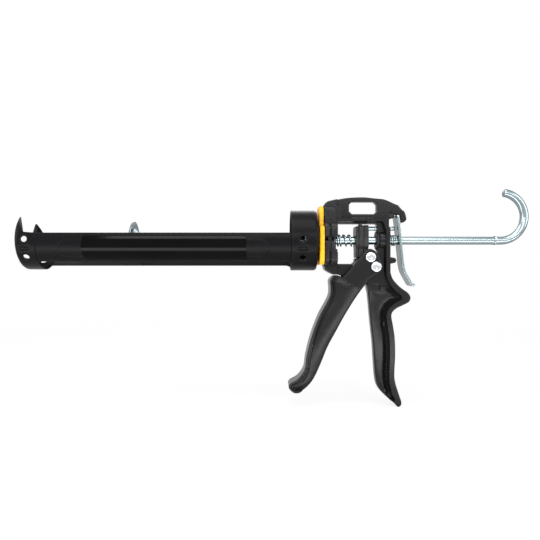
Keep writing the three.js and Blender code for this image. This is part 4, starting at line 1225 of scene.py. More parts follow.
def hex_nut(start: float, end: float, half_flats: float, bore: float,
            sides: int = 144) -> tuple[Array, Array]:
    """Hexagonal nut on the X axis: its radius is the smaller of the hexagon's, which is half_flats over
    the cosine of the angle from the nearest flat's middle, and that of a cone at each end.

    Args:
        start: lower end along X.
        end: upper end.
        half_flats: half the width across the flats.
        bore: radius of the hole.
        sides: steps round the nut.

    Returns:
        Points and triangles.
    """
    angle = np.linspace(0, 2 * np.pi, sides, endpoint=False)
    flat = np.remainder(angle + np.pi / 6, np.pi / 3) - np.pi / 6
    hexagon = half_flats / np.cos(flat)
    height = end - start
    share = np.array([0, 0.05, 0.1, 0.15, 0.2, 0.3, 0.5, 0.7, 0.8, 0.85, 0.9, 0.95, 1.0])
    x = start + share * height
    cone = half_flats * NUT_FACE_SHARE + np.minimum(x - start, end - x) * NUT_SLOPE
    outer = np.minimum(hexagon[None], cone[:, None])
    rings = np.vstack([outer, np.full((1, sides), bore), np.full((1, sides), bore)])
    along = np.concatenate([x, [end, start]])[:, None] + 0 * angle
    xyz = np.stack([along, rings * np.cos(angle), rings * np.sin(angle)], -1).reshape(-1, 3)
    tris = quads(len(rings), sides, True, True)
    return xyz, outward(xyz, tris)


@dataclass
class Piston:
    """The dished piston disc, which hangs a little low on the rod, and the cup behind it."""

    thickness: float = 1.6
    dish: float = 2.1
    sag: float = 1.0
    bore: float = 3.8
    seat_radius: float = 6.1
    seat_depth: float = 0.6
    flat_radius: float = 14.0
    backing_rim: float = 1.7
    backing_top: float = 7.6

    def build(self) -> None:
        """Makes the disc and its backing."""
        low, high = span("piston_disc")
        front, edge = low[0], high[1]
        t, d = self.thickness, self.dish
        disc = rounded([(front + self.seat_depth, self.bore), (front + self.seat_depth, self.seat_radius),
                        (front, self.seat_radius + self.seat_depth), (front, self.flat_radius),
                        (front + d, edge - t / 2), (front + d + t, edge), (front + d + t, edge - t),
                        (front + t, self.flat_radius), (front + t, self.bore)],
                       [0.2, 0.5, 0.5, 2.5, 0.6, 0.3, 0.5, 2.5, 0.2])
        add_piece("piston_disc_dished", turned(disc, 128, (0, -self.sag)), ZINC, Body.PISTON, ["piston_disc"])
        low, high = span("piston_backing")
        rim = high[1]
        cup = rounded([(low[0], self.bore - 1), (low[0], rim), (low[0] + self.backing_rim, rim),
                       (high[0], self.backing_top), (high[0], self.bore - 1)], [0.2, 0.5, 0.9, 1.2, 0.2])
        add_piece("piston_backing_cup", turned(cup, 96), ZINC, Body.PISTON, ["piston_backing"])


# Hub


@dataclass
class Hub:
    """What holds the barrel on the body: sleeve, nut, washers and the orange-yellow retainer plate."""

    plate_half: float = 23.2
    plate_bottom: float = 23.7
    plate_shoulder: float = 9.0
    tab_half: float = 13.5
    tab_top: float = 32.2
    tab_radius: float = 4.0
    neck: float = 16.5
    plate_corner: float = 6.5
    plate_edge: float = 1.3
    bore: float = 11.3
    nut_bore: float = 11.2
    rod_bore: float = 4.5

    def build(self) -> None:
        """Makes the hub's pieces."""
        self.ring("hub_sleeve", "hub_sleeve_tube", self.rod_bore, ZINC)
        self.ring("hub_washer", "hub_washer_ring", self.bore, ZINC)
        self.ring("swivel_washer", "swivel_washer_ring", self.bore, PLASTIC)
        self.ring("spring_seat", "spring_seat_ring", self.rod_bore, ZINC)
        low, high = span("hub_nut")
        nut = hex_nut(low[0], high[0], high[2], self.nut_bore)
        add_piece("hub_nut_hex", nut, ZINC, Body.BODY, ["hub_nut"])
        add_piece("retainer_plate_moulding", self.plate(), YELLOW, Body.BODY, ["retainer_plate"])

    def ring(self, node: str, name: str, bore: float, finish: Finish) -> None:
        """Makes a ring in the place of a CAD node, with broken edges."""
        low, high = span(node)
        outline = [(low[0], bore), (low[0], high[1]), (high[0], high[1]), (high[0], bore)]
        add_piece(name, turned(rounded(outline, 0.25, 3)), finish, Body.BODY, [node])

    def plate_outline(self) -> Array:
        """The plate: a wide foot with round corners that draws in by an S-curve to a tab at the top."""
        wide, tab = self.plate_half, self.tab_half
        t = np.linspace(0, 1, 22)[:, None]
        pulls = ((wide, self.plate_shoulder), (wide, self.neck), (tab, self.plate_shoulder),
                 (tab, self.neck + self.tab_radius))
        weights = ((1 - t)**3, 3 * t * (1 - t)**2, 3 * t * t * (1 - t), t**3)
        curve = sum(weight * np.array(pull) for weight, pull in zip(weights, pulls))
        corner, end = self.plate_corner, self.tab_radius
        foot = arc((wide - corner, corner - self.plate_bottom), corner, -90, 0, 10)
        top = arc((tab - end, self.tab_top - end), end, 0, 90, 9)
        return mirrored(np.vstack([foot, curve, top]))

    def plate(self) -> tuple[Array, Array, Array]:
        """The plate, with generous round edges."""
        low, high = span("retainer_plate")
        half = (high[0] - low[0]) / 2
        plan = Plan(self.plate_outline(), [circle((0, 0), self.bore, 64)], self.plate_edge, (), 1.0, 2.2)
        return even_slab(plan, half, along_x(low[0] + half))


# Body casting


@dataclass
class Step:
    """A region of a casting's face at its own level, with a slope of some width round it."""

    loop: Array
    level: Callable[[Array, Array], Array]
    width: float = 1.0

    def line(self) -> tuple[Array, Sequence[float]]:
        """The region's outline and the rows on which its slope bends."""
        return self.loop, tuple(self.width * k for k in (-0.75, -0.5, -0.25, 0, 0.25, 0.5, 0.8))

    def apply(self, uv: Array, half: Array) -> Array:
        """Blends the field to the region's level inside its outline."""
        inner = depth(uv, self.loop)
        share = smooth(inner / self.width + 0.5)
        return half * (1 - share) + self.level(uv, inner) * share


def level(height: float) -> Callable[[Array, Array], Array]:
    """A level that is the same all over its region."""
    return lambda uv, inner: np.full(len(uv), height)


@dataclass
class BodyCasting:
    """The body: hub flanges, arch with its hanging slot, window, rear wall and handle in one casting."""

    front: float = 50.9
    length: float = 78.8
    top: float = 41.0
    grip: float = 156.6
    rim_half: float = 10.6
    arch_half: float = 4.5
    web_half: float = 5.5
    groove_half: float = 3.7
    groove_width: float = 2.4
    groove_slope: float = 1.8
    crown_foot: float = 1.0
    crown_rise: float = 2.2
    ledge_half: float = 6.4
    ledge_depth: float = 4.2
    step_width: float = 1.3
    panel_width: float = 1.4
    ledge_width: float = 1.6
    edge: float = 1.1
    rim_band: float = 4.2
    rib_start: float = 63.4
    rib_width: float = 5.6
    rib_bottom: float = 18.8
    rib_top: float = 33.2
    boss_start: float = 104.6
    boss_radius: float = 9.6
    hub_length: float = 12.1
    flange_half: float = 22.8
    flange_bottom: float = 23.4
    flange_top: float = 16.0
    flange_corner: float = 6.0
    flange_thickness: float = 4.2
    flange_gap: float = 1.6
    neck_half: float = 18.8
    notch_low: float = -1.7
    notch_high: float = 2.9
    block_half: float = 21.8
    block_height: float = 9.8
    block_length: float = 9.6
    boss_bore: float = 6.3
    bush_half: float = 6.0
    bush_flange: float = 2.4
    dot_depth: float = 0.25
    view_bottom: float = -8.5
    view_end: float = 40.0
    coil_view_half: float = 6.8
    head_half: float = 13.2
    head_length: float = 11.3
    head_height: float = 31.4
    nub_reach: float = 5.5
    nub_centre: float = -19.4
    nub_half: float = 2.6
    arch_top: tuple = (
        (0, 0.805), (0.039, 0.885), (0.105, 0.925), (0.265, 0.987), (0.387, 1.006), (0.509, 1.008),
        (0.63, 0.984), (0.751, 0.956), (0.873, 0.853), (0.913, 0.823), (0.958, 0.725), (0.996, 0.66),
        (1.0165, 0.52), (1.012, 0.47), (0.985, 0.425), (0.957, 0.413), (0.935, 0.44), (0.93, 0.478))
    notch: tuple = ((0.93, 0.6), (0.868, 0.6), (0.868, 0.527), (0.806, 0.498))
    grip_rear: tuple = (
        (0.806, 0.198), (0.831, 0.234), (0.885, 0.268), (0.945, 0.295), (1.013, 0.319), (1.046, 0.346),
        (1.03, 0.374), (0.962, 0.394), (0.868, 0.418), (0.817, 0.454), (0.838, 0.527), (0.857, 0.598),
        (0.862, 0.702), (0.852, 0.807), (0.862, 0.862), (0.911, 0.9425), (0.936, 0.981), (0.928, 1.003),
        (0.893, 1.0115), (0.852, 0.99))
    grip_front: tuple = (
        (0.742, 0.945), (0.6625, 0.895), (0.634, 0.832), (0.621, 0.75), (0.604, 0.62), (0.576, 0.488),
        (0.553, 0.355), (0.533, 0.285), (0.518, 0.268))
    underside: tuple = ((0.192, -0.806), (0.128, -0.802), (0.075, -0.76), (0.019, -0.695), (0, -0.584))
    rim_inner: tuple = (
        (0.745, 0.198), (0.76, 0.233), (0.801, 0.278), (0.858, 0.31), (0.92, 0.337), (0.935, 0.348),
        (0.925, 0.36), (0.86, 0.378), (0.788, 0.409), (0.748, 0.452), (0.761, 0.527), (0.783, 0.598),
        (0.789, 0.702), (0.781, 0.807), (0.788, 0.877), (0.826, 0.941), (0.853, 0.972))
    window: tuple = (
        (0.171, 0.385), (0.661, 0.385), (0.661, -0.293), (0.53, -0.293), (0.53, -0.42), (0.383, -0.42),
        (0.383, -0.49), (0.352, -0.55), (0.171, -0.55))
    hang_slot: tuple = ((0.318, 0.615), (0.653, 0.9))
    slot_chamfer: float = 2.6
    rim_top: tuple = ((0.171, 0.524), (0.591, 0.524), (0.699, 0.48), (0.764, 0.4), (0.796, 0.298))
    mark_at: tuple = (0.73, 0.516)
    dimple_at: tuple = (0.835, 0.61)
    step_front: tuple = (0.192, -0.993)
    step_rear: tuple = (0.806, -1.085)

    def arch(self, shares: Sequence[Sequence[float]]) -> Array:
        """Places from shares of the length and of the arch's height."""
        return np.array([(self.front, 0)]) + np.asarray(shares, float) * (self.length, self.top)

    def handle(self, shares: Sequence[Sequence[float]]) -> Array:
        """Places from shares of the length and of the handle's depth."""
        return np.array([(self.front, 0)]) + np.asarray(shares, float) * (self.length, -self.grip)

    def build(self) -> None:
        """Makes the casting and what is fixed in it."""
        nodes = ["body_casting"]
        add_piece("body_casting_frame", self.frame_shape(), CASTING, Body.BODY, nodes)
        for name, shape in self.hub_shapes().items():
            add_piece(name, shape, CASTING, Body.BODY, nodes)
        add_piece("casting_rear_boss", self.boss(), CASTING, Body.BODY, nodes)
        add_piece("guide_bush_flanged", self.bush(), PLASTIC, Body.BODY, ["rear_guide_bush"])
        add_piece("pivot_rivet_domed", rivet("pivot_rivet"), CHROME, Body.BODY, ["pivot_rivet"])

    def outline(self) -> Array:
        """Outline of the casting seen from the side, clockwise from the front of the arch."""
        wall = self.handle(self.grip_rear)[0, 0]
        reach = wall + self.nub_reach - self.nub_half
        nub = np.vstack([[(wall, self.nub_centre + self.nub_half + 0.6)],
                         arc((reach, self.nub_centre), self.nub_half, 90, -90, 10),
                         [(wall, self.nub_centre - self.nub_half - 0.6)]])
        return np.vstack([
            spline(self.arch(self.arch_top), 5), self.arch(self.notch), nub,
            spline(self.handle(self.grip_rear), 6)[:-1], spline([self.handle(self.grip_rear)[-1],
                                                                 *self.handle(self.grip_front)], 6),
            self.arch(self.underside),
        ])

    def steps(self, outer: Array) -> list[Step]:
        """The regions of the casting's face that are lower or higher than its rim."""
        wall_rear = self.handle(self.grip_rear)[0, 0]
        wall_front = self.handle(self.rim_inner)[0, 0]
        hub_back = self.arch(self.window)[0, 0]
        far = self.front + self.length + 30
        rim = self.arch(self.rim_top)
        arch_loop = rounded([*rim, (wall_rear + 3, rim[-1, 1]), (far, rim[-1, 1]), (far, self.top + 20),
                             (hub_back, self.top + 20)], [1.6, 6, 6, 6, 1, 0, 0, 0, 0])
        inner = spline(self.handle(self.rim_inner), 5)
        front, rear = self.arch([self.step_front])[0], self.arch([self.step_rear])[0]
        upper = inner[inner[:, 1] > rear[1]]
        sill = rim[0, 1] - self.rim_band
        web_loop = rounded([(hub_back, sill), (wall_front - 3, sill),
                            (wall_front, rim[0, 1] - 3 * self.rim_band), *upper[::3], rear, front,
                            (hub_back, self.arch(self.underside)[0, 1])], 1.2, 3)
        lower = inner[inner[:, 1] <= rear[1] + 1.5]
        tip = self.handle(self.grip_front)[0]
        start, end, foot = front[0] - 6, rear[0] - 10, rear[1] - self.ledge_depth
        panel_loop = np.vstack([[(start, front[1] - 1.6), (rear[0] - 12, rear[1] + 0.6)], lower,
                                [tip - (12, 0), (start, tip[1])]])
        ledge = np.array([(start, front[1] + 0.8), (end, rear[1] + 2.2), (end, foot), (start, foot)])

        def panel(uv: Array, into: Array) -> Array:
            """The handle's panel: a level groove beside the rim, then a crown that is a parabola from the
            groove to the front edge."""
            gap = distance(uv, outer)
            past = into - self.groove_width
            share = gap / np.maximum(gap + past, 1e-3)
            crown = self.crown_foot + self.crown_rise * np.clip(4 * share * (1 - share), 0, 1)
            return self.groove_half + smooth(past / self.groove_slope) * crown

        left, right = self.rib_start, self.rib_start + self.rib_width
        rib = np.array([(left, self.rib_bottom + 2.8), ((left + right) / 2, self.rib_bottom),
                        (right, self.rib_bottom + 2.8), (right, self.rib_top), (left, self.rib_top)])
        return [Step(arch_loop, level(self.arch_half), self.step_width),
                Step(web_loop, level(self.web_half), self.step_width),
                Step(panel_loop, panel, self.panel_width),
                Step(ledge, level(self.ledge_half), self.ledge_width),
                Step(rib, level(self.rim_half))]

    def frame_shape(self) -> tuple[Array, Array, Array]:
        """The casting between its two faces, which mirror each other: the rim's half width, blended to each
        region's level, and rounded along every edge."""
        outer = self.outline()
        (left, bottom), (right, top) = self.arch(self.hang_slot)
        c = self.slot_chamfer
        slot = rounded([(left + c, bottom), (right - c, bottom), (right, bottom + c), (right, top - c),
                        (right - c, top), (left + c, top), (left, top - c), (left, bottom + c)], 1.0, 3)
        opening = self.arch(self.window)
        start, view = opening[0, 0], self.front + self.block_length
        window = np.vstack([opening, rectangle(start, self.view_bottom, view, self.notch_high)])
        window = rounded(window, [1.2, 2.2, 1.5, 2.0, 1.2, 1.0, 1.2, 2.0, 1.5, 0.6, 1.0, 1.0, 0.6], 4)
        steps = self.steps(outer)
        mark = circle(self.handle([self.mark_at])[0], 1.2, 18)
        dimple = circle(self.arch([self.dimple_at])[0], 0.8, 14)
        lines = [step.line() for step in steps] + [(mark, (-0.4, 0, 0.4)), (dimple, (-0.4, 0, 0.4))]
        plan = Plan(outer, [slot, window], self.edge, lines, 1.0, 2.0)

        def face(uv: Array) -> Array:
            """Half the casting's width."""
            half = np.full(len(uv), self.rim_half)
            for step in steps:
                half = step.apply(uv, half)
            for loop in (mark, dimple):
                half = half - self.dot_depth * smooth(depth(uv, loop) / 0.5 + 0.5)
            return half - quarter(plan.edge_distance(uv), self.edge)

        return slab(plan, face, lambda uv: -face(uv), across_y)

    def hub_shapes(self) -> dict[str, tuple[Array, Array, Array]]:
        """Flanges, neck, side blocks and head block at the casting's front."""
        hub_back = self.front + self.hub_length
        second = self.front + self.flange_thickness + self.flange_gap
        wide, neck = self.flange_half, self.neck_half
        c, gap, front = self.flange_corner, self.flange_gap, self.front
        right = [(wide, -self.flange_bottom), (wide, self.notch_low), (neck, self.notch_low),
                 (neck, self.notch_high), (wide, self.notch_high), (wide, self.flange_top)]
        flange = rounded(mirrored(right), [c, 1, 0.8, 0.8, 1, c] * 2, 6)
        neck_loop = slab_outline(neck, -self.flange_bottom + gap, self.flange_top - gap, c - 1)
        head = slab_outline(self.head_half, 0, self.head_height, 2.4)
        side = slab_outline(self.block_half, self.notch_low - self.block_height, self.notch_low, 1.2)
        view = front + self.block_length
        return {
            "hub_flange_front": self.block(flange, front, front + self.flange_thickness, 1.0),
            "hub_flange_rear": self.block(flange, second, hub_back, 1.1, hub_back - view),
            "hub_neck": self.block(neck_loop, front + 0.5, hub_back - 0.4, 0.6, hub_back - 0.2 - view),
            "hub_head_block": self.block(head, front, front + self.head_length, 1.3),
            "hub_side_block": self.block(side, front, view, 0.7),
        }

    def block(self, outline: Array, start: float, end: float, edge: float,
              cut: float = 0) -> tuple[Array, Array, Array]:
        """A block drawn in Y and Z from one X to another, with rounded edges.

        Args:
            outline: its outline.
            start: its lower end along X.
            end: its upper end.
            edge: radius of its edges.
            cut: how much lower the upper end is on both sides of the spring's first coil.

        Returns:
            Points, triangles and edge nearness.
        """
        low = self.notch_low - self.block_height
        view = rectangle(self.coil_view_half, low, self.view_end, self.notch_high)
        views = [view * (side, 1) for side in (1, -1)]
        lines = [(turned_way(view, 1), (-0.3, 0, 0.3)) for view in views] if cut else []
        plan = Plan(outline, (), edge, lines, 1.1, 2.6)
        half = (end - start) / 2

        def face(uv: Array) -> Array:
            """Half its length along X."""
            return half - quarter(plan.edge_distance(uv), edge)

        def upper(uv: Array) -> Array:
            """The upper end, with the cut."""
            inside_view = sum(smooth(depth(uv, view) / 0.6 + 0.5) for view in views)
            return face(uv) - cut * inside_view

        return slab(plan, upper, lambda uv: -face(uv), along_x(start + half))

    def boss(self) -> tuple[Array, Array]:
        """The round boss that stands from the rear wall into the window."""
        start = self.boss_start
        end = self.handle(self.rim_inner)[0, 0] + 0.3
        outline = [(start, self.boss_bore), (start, self.boss_radius), (end, self.boss_radius),
                   (end, self.boss_bore)]
        return turned(rounded(outline, [0.3, 1.2, 0.2, 0.2]), 96)

    def bush(self) -> tuple[Array, Array]:
        """The guide bush: a flange in front of the boss and a sleeve through it."""
        low, high = span("rear_guide_bush")
        start, step, end = low[0], low[0] + self.bush_flange, high[0]
        outline = [(start, ROD_BORE), (start, high[1]), (step, high[1]), (step, self.bush_half),
                   (end, self.bush_half), (end, ROD_BORE)]
        return turned(rounded(outline, [0.4, 0.6, 0.5, 0.2, 0.3, 0.2], 4), 96)


def rivet(node: str) -> tuple[Array, Array]:
    """A rivet across Y in the place of a CAD node, with two low domed heads and a dimple in each."""
    low, high = span(node)
    x, z = (low[0] + high[0]) / 2, (low[2] + high[2]) / 2
    face, head = high[1], (high[0] - low[0]) / 2
    dome = [(face - drop, head * share) for drop, share in RIVET_DOME]
    profile = mirrored([(dome[0][0], RIVET_SHANK), *dome])
    radii = [0, 0.15, 0.35, 0.8, 1, 0.8, 0.5, 0]
    return turned(rounded(profile, radii + radii[::-1], 3), 72, (x, z), 1)


# Trigger


@dataclass
class Trigger:
    """The trigger casting: a hollow lever with a wide front rim, and two cheeks round the body."""

    reach: float = 144.0
    slot_half: float = 7.4
    rim_half: float = 11.8
    rim_width: float = 1.9
    rim_slope: float = 1.1
    groove_depth: float = 3.2
    ridge_start: float = 3.6
    ridge_slope: float = 1.2
    ridge_rise: float = 0.55
    crown_start: float = 4.6
    crown_share: float = 0.11
    crown_limit: float = 2.9
    least_wall: float = 0.8
    cheek_half: float = 11.2
    cheek_width: float = 1.6
    edge: float = 1.4
    outline_shares: tuple = (
        (-0.219, -0.066), (-0.256, -0.0557), (-0.284, -0.062), (-0.304, -0.091), (-0.301, -0.14),
        (-0.305, -0.186), (-0.327, -0.236), (-0.37, -0.314), (-0.411, -0.415), (-0.44, -0.507),
        (-0.461, -0.599), (-0.474, -0.678), (-0.513, -0.735), (-0.562, -0.765), (-0.577, -0.79),
        (-0.562, -0.816), (-0.535, -0.832), (-0.499, -0.826), (-0.441, -0.778), (-0.402, -0.721),
        (-0.36, -0.628), (-0.319, -0.528), (-0.265, -0.428), (-0.21, -0.328), (-0.141, -0.215),
        (-0.08, -0.129), (-0.056, -0.09))
    cheek_shares: tuple = (
        (-0.056, -0.09), (0.018, -0.04), (0.039, -0.018), (0.043, 0.01), (0.035, 0.036), (0.002, 0.094),
        (-0.022, 0.114), (-0.048, 0.119), (-0.072, 0.107), (-0.176, -0.018))
    slot_shares: tuple = (
        (-0.228, -0.061), (-0.238, -0.142), (-0.253, -0.198), (-0.293, -0.281), (-0.335, -0.378),
        (-0.373, -0.483), (-0.401, -0.587), (-0.429, -0.663), (-0.451, -0.705), (-0.411, -0.69),
        (-0.272, -0.517), (-0.133, -0.281), (0, -0.115), (0.08, -0.03), (0.08, 0.16), (-0.11, 0.16),
        (-0.259, -0.031))
    root_shares: tuple = ((-0.219, -0.069), (-0.184, -0.1), (-0.125, -0.13), (-0.08, -0.129))

    def pivot(self) -> Array:
        """The pivot's place in X and Z, from its rivet."""
        low, high = span("pivot_rivet")
        return (low + high)[[0, 2]] / 2

    def points(self, shares: Sequence[Sequence[float]]) -> Array:
        """Places from shares of the reach, from the pivot."""
        return self.pivot() + np.asarray(shares, float) * self.reach

    def build(self) -> None:
        """Makes the trigger and its drive rivet."""
        add_piece("trigger_casting", self.shape(), CASTING, Body.TRIGGER, ["trigger"])
        add_piece("drive_rivet_domed", rivet("drive_rivet"), CHROME, Body.TRIGGER, ["drive_rivet"])

    def outline(self) -> Array:
        """Outline from the side: the lever's, with the cheeks' joined on at the top."""
        lever = spline(self.points(self.outline_shares), 6)
        cheek = self.points(self.cheek_shares)
        top = np.vstack([cheek[:1], spline(cheek[1:9], 6), cheek[9:]])
        return np.vstack([lever, top[1:]])

    def shape(self) -> tuple[Array, Array, Array]:
        """Two mirrored faces. Over the slot each face has its own inner wall, and elsewhere the lever is
        solid across."""
        outer = self.outline()
        slot = rounded(self.points(self.slot_shares), 1.5, 3)
        front = spline(self.points(self.outline_shares[2:18]), 5)
        cheek = np.vstack([self.points(self.cheek_shares), self.points(self.root_shares)])
        cheek_step = Step(offset(turned_way(spaced(cheek, 2.0), 1), -1.0), level(self.cheek_half),
                          self.cheek_width)
        front_loop = np.vstack([front, front[::-1] + (5.2, 0.8)])
        front_rows = (-2.6, -1.2, -0.6, 0, 0.6, 1.2, 2.0)
        lines = [(slot, (0,)), cheek_step.line(), (front_loop, front_rows)]
        plan = Plan(outer, (), self.edge, lines, 1.0, 1.8)

        def face(uv: Array) -> Array:
            """Half the trigger's width: wide along the finger edge, with a groove and a low ridge behind
            it, then a panel whose crown is a parabola from the ridge to the back edge."""
            ahead = distance(uv, front, closed=False)
            back = plan.edge_distance(uv)
            rim = self.rim_half - self.groove_depth * smooth((ahead - self.rim_width) / self.rim_slope)
            inner = np.maximum(ahead - self.crown_start, 0)
            share = inner / np.maximum(inner + back, 1e-3)
            rise = np.minimum(self.crown_limit, self.crown_share * (inner + back))
            crown = rise * 4 * share * (1 - share)
            panel = smooth((ahead - self.ridge_start) / self.ridge_slope) * (self.ridge_rise + crown)
            return cheek_step.apply(uv, rim + panel) - quarter(back, self.edge)

        uv, tris = plan.mesh()
        half = np.maximum(face(uv), self.slot_half + self.least_wall)
        in_slot = inside(uv[tris].mean(1), slot)
        n = len(uv)
        heights = (-half, np.full(n, -self.slot_half), np.full(n, self.slot_half), half)
        xyz = np.vstack([across_y(uv[:, 0], uv[:, 1], w) for w in heights])
        a, b = open_sides(tris).T
        c, d = open_sides(tris[in_slot]).T
        lip = np.isin(c * n + d, a * n + b)
        solid = ~np.isin(a * n + b, (c * n + d)[lip])

        def wall(p: Array, q: Array, low: int, high: int) -> Array:
            """Triangles of the wall between two heights along sides p to q."""
            return np.vstack([np.column_stack([p + low * n, q + low * n, q + high * n]),
                              np.column_stack([p + low * n, q + high * n, p + high * n])])

        faces = [tris[:, ::-1], tris + 3 * n, tris[in_slot] + n, tris[in_slot][:, ::-1] + 2 * n,
                 wall(a, b, 0, 1), wall(a, b, 2, 3), wall(a[solid], b[solid], 1, 2),
                 wall(d[~lip], c[~lip], 1, 2)]
        near = np.exp(-plan.edge_distance(uv) / EDGE_REACH)
        xyz, joined, kept = used_points(xyz, np.vstack(faces), np.tile(near, 4))
        return xyz, outward(xyz, joined), kept


def used_points(xyz: Array, tris: Array, near: Array) -> tuple[Array, Array, Array]:
    """Drops points that no triangle uses."""
    used, fresh = np.unique(tris, return_inverse=True)
    return xyz[used], fresh.reshape(-1, 3), near[used]


# Drive head


@dataclass
class DriveHead:
    """Three blackened steel plates on the rod, and the thin anti-drip pin behind them."""

    half: float = 9.2
    shoulder: float = -8.5
    leg_half: float = 6.5
    leg_bottom: float = 16.7
    corner: float = 3.0
    edge: float = 0.45
    nub_half: float = 3.4
    nub_width: float = 3.4
    nub_height: float = 1.1
    nub_root: float = 2.6

    def build(self) -> None:
        """Makes the plates and the pin."""
        for node in ("thrust_plate", "grip_plate", "rear_grip_plate"):
            low, high = span(node)
            top = high[2] - (self.nub_height if node == "grip_plate" else 0)
            add_piece(node + "_stamped", self.plate(low[0], high[0], top), BLACK_STEEL, Body.DRIVE, [node])
        low, high = span("grip_plate")
        nub = rectangle(-self.nub_half, high[2] - self.nub_root, self.nub_half, high[2])
        plan = Plan(rounded(nub, 0.7, 4), (), 0.5, (), 0.6, 1.4)
        shape = even_slab(plan, self.nub_width / 2, along_x((low[0] + high[0]) / 2))
        add_piece("grip_plate_nub", shape, BLACK_STEEL, Body.DRIVE, ["grip_plate"])
        low, high = span("drip_pin")
        radius = (high[2] - low[2]) / 2
        section = [(low[0], 0), (low[0], radius), (high[0], radius), (high[0], 0)]
        profile = rounded(section, [0, 0.5, 0.8, 0], 5)
        pin = turned(profile, 40, (0, (low[2] + high[2]) / 2))
        add_piece("drip_pin_round", pin, ZINC, Body.DRIVE, ["drip_pin"])

    def plate(self, start: float, end: float, top: float) -> tuple[Array, Array, Array]:
        """A plate with a round-cornered head and a narrower leg, a hole for the rod and rounded edges."""
        right = [(self.leg_half, -self.leg_bottom), (self.leg_half, self.shoulder),
                 (self.half, self.shoulder + self.corner), (self.half, top)]
        outline = rounded(mirrored(right), [1.2, 1.0, 1.5, self.corner, self.corner, 1.5, 1.0, 1.2], 5)
        plan = Plan(outline, [circle((0, 0), ROD_BORE, 40)], self.edge, (), 0.9, 2.0)
        half = (end - start) / 2
        return even_slab(plan, half, along_x(start + half))


# Springs


@dataclass
class Coil:
    """A spring along X: closed turns at one end, evenly open turns for the rest, ground ends."""

    node: str
    joint: str
    radius: float
    wire: float
    open_turns: float
    closed_turns: float
    closed_first: bool
    keep: float
    anchor: float
    closed_gap: float = 0.5
    steps: int = 48

    def build(self) -> None:
        """Makes the spring as a coiled wire along its CAD node."""
        low, high = span(self.node)
        turns = self.open_turns + self.closed_turns
        t = np.linspace(0, turns, int(turns * self.steps) + 1)
        start = low[0] + self.wire
        rise = high[0] - low[0] - 2 * self.wire
        closed_pitch = self.wire + self.closed_gap
        open_pitch = (rise - closed_pitch * self.closed_turns) / self.open_turns
        if self.closed_first:
            reached = np.minimum(t, self.closed_turns)
        else:
            reached = np.maximum(t - self.open_turns, 0)
        x = start + closed_pitch * reached + open_pitch * (t - reached)
        lead = np.array([-1, -0.5]) * self.wire / 2
        x = np.concatenate([start + lead, x, x[-1:] - lead[::-1]])
        angle = 2 * np.pi * np.concatenate([[-0.02, -0.01], t, [turns + 0.01, turns + 0.02]])
        line = np.column_stack([x, self.radius * np.cos(angle), self.radius * np.sin(angle)])
        out = np.column_stack([0 * x, np.cos(angle), np.sin(angle)])
        xyz, tris = tube(line, out, self.wire / 2, 16)
        piece = add_piece(self.node + "_coil", (xyz, tris), WIRE, Body.BODY, [self.node])
        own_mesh(piece)


MAIN_SPRING = Coil("main_spring", "drive_slide", radius=5.35, wire=1.6, open_turns=2.5, closed_turns=1.5,
                   closed_first=True, keep=0.837, anchor=62.4)
BRAKE_SPRING = Coil("brake_spring", "lever_press", radius=5.0, wire=1.2, open_turns=1.0, closed_turns=1.5,
                    closed_first=False, keep=0.69, anchor=114.7)


# Release lever


@dataclass
class ReleaseLever:
    """The release lever: a zinc-plated strip on a smooth line, with a hole for the rod."""

    height: float = 67.4
    top_x: float = 121.5
    top_z: float = 24.1
    thickness: float = 2.4
    half: float = 9.5
    bore: float = 4.9
    edge: float = 0.6
    shares: tuple = (
        (0, 0), (0.019, -0.142), (0.033, -0.282), (0.046, -0.423), (0.061, -0.564), (0.076, -0.705),
        (0.1, -0.803), (0.143, -0.887), (0.174, -0.94), (0.199, -0.984), (0.224, -0.996), (0.239, -0.975))

    def build(self) -> None:
        """Makes the lever."""
        add_piece("release_lever_strip", self.shape(), ZINC, Body.LEVER, ["release_lever"])

    def shape(self) -> tuple[Array, Array, Array]:
        """The strip over a plan of its length and width, bent along its line by moving each point along
        the line's normal."""
        line = spline(np.array([(self.top_x, self.top_z)]) + np.array(self.shares) * self.height, 12)
        run = np.concatenate([[0], np.cumsum(np.linalg.norm(np.diff(line, axis=0), axis=1))])
        way = np.gradient(line, axis=0)
        way /= np.linalg.norm(way, axis=1)[:, None]
        hole_at = float(np.interp(0, -line[:, 1], run))
        length = run[-1]
        outline = rounded(rectangle(0, -self.half, length, self.half), [1.6, 2.5, 2.5, 1.6], 6)
        past = self.half + 3
        rows = [(rectangle(at, -past, at + 0.01, past), (0,)) for at in run[-60:-1:4]]
        plan = Plan(outline, [circle((hole_at, 0), self.bore, 44)], self.edge, rows, 1.0, 2.0)

        def place(u: Array, v: Array, w: Array) -> Array:
            """Bends the plan along the line."""
            x, z = np.interp(u, run, line[:, 0]), np.interp(u, run, line[:, 1])
            wx, wz = np.interp(u, run, way[:, 0]), np.interp(u, run, way[:, 1])
            return np.column_stack([x - wz * w, v, z + wx * w])

        return even_slab(plan, self.thickness / 2, place)


# Studio


@dataclass(frozen=True)
class Lamp:
    """A soft rectangular lamp: its place and the point it faces, in metres, its two sides and its watts."""

    name: str
    place: tuple[float, float, float]
    aim: tuple[float, float, float]
    size: tuple[float, float]
    power: float

    def build(self) -> None:
        """Adds it to the scene, out of the camera's sight."""
        data = bpy.data.lights.new(self.name, "AREA")
        data.shape = "RECTANGLE"
        data.size, data.size_y = self.size
        data.energy = self.power
        lamp = bpy.data.objects.new(self.name, data)
        lamp.location = self.place
        lamp.rotation_euler = (Vector(self.aim) - Vector(self.place)).to_track_quat("-Z", "Y").to_euler()
        lamp.visible_camera = False
        bpy.context.scene.collection.objects.link(lamp)


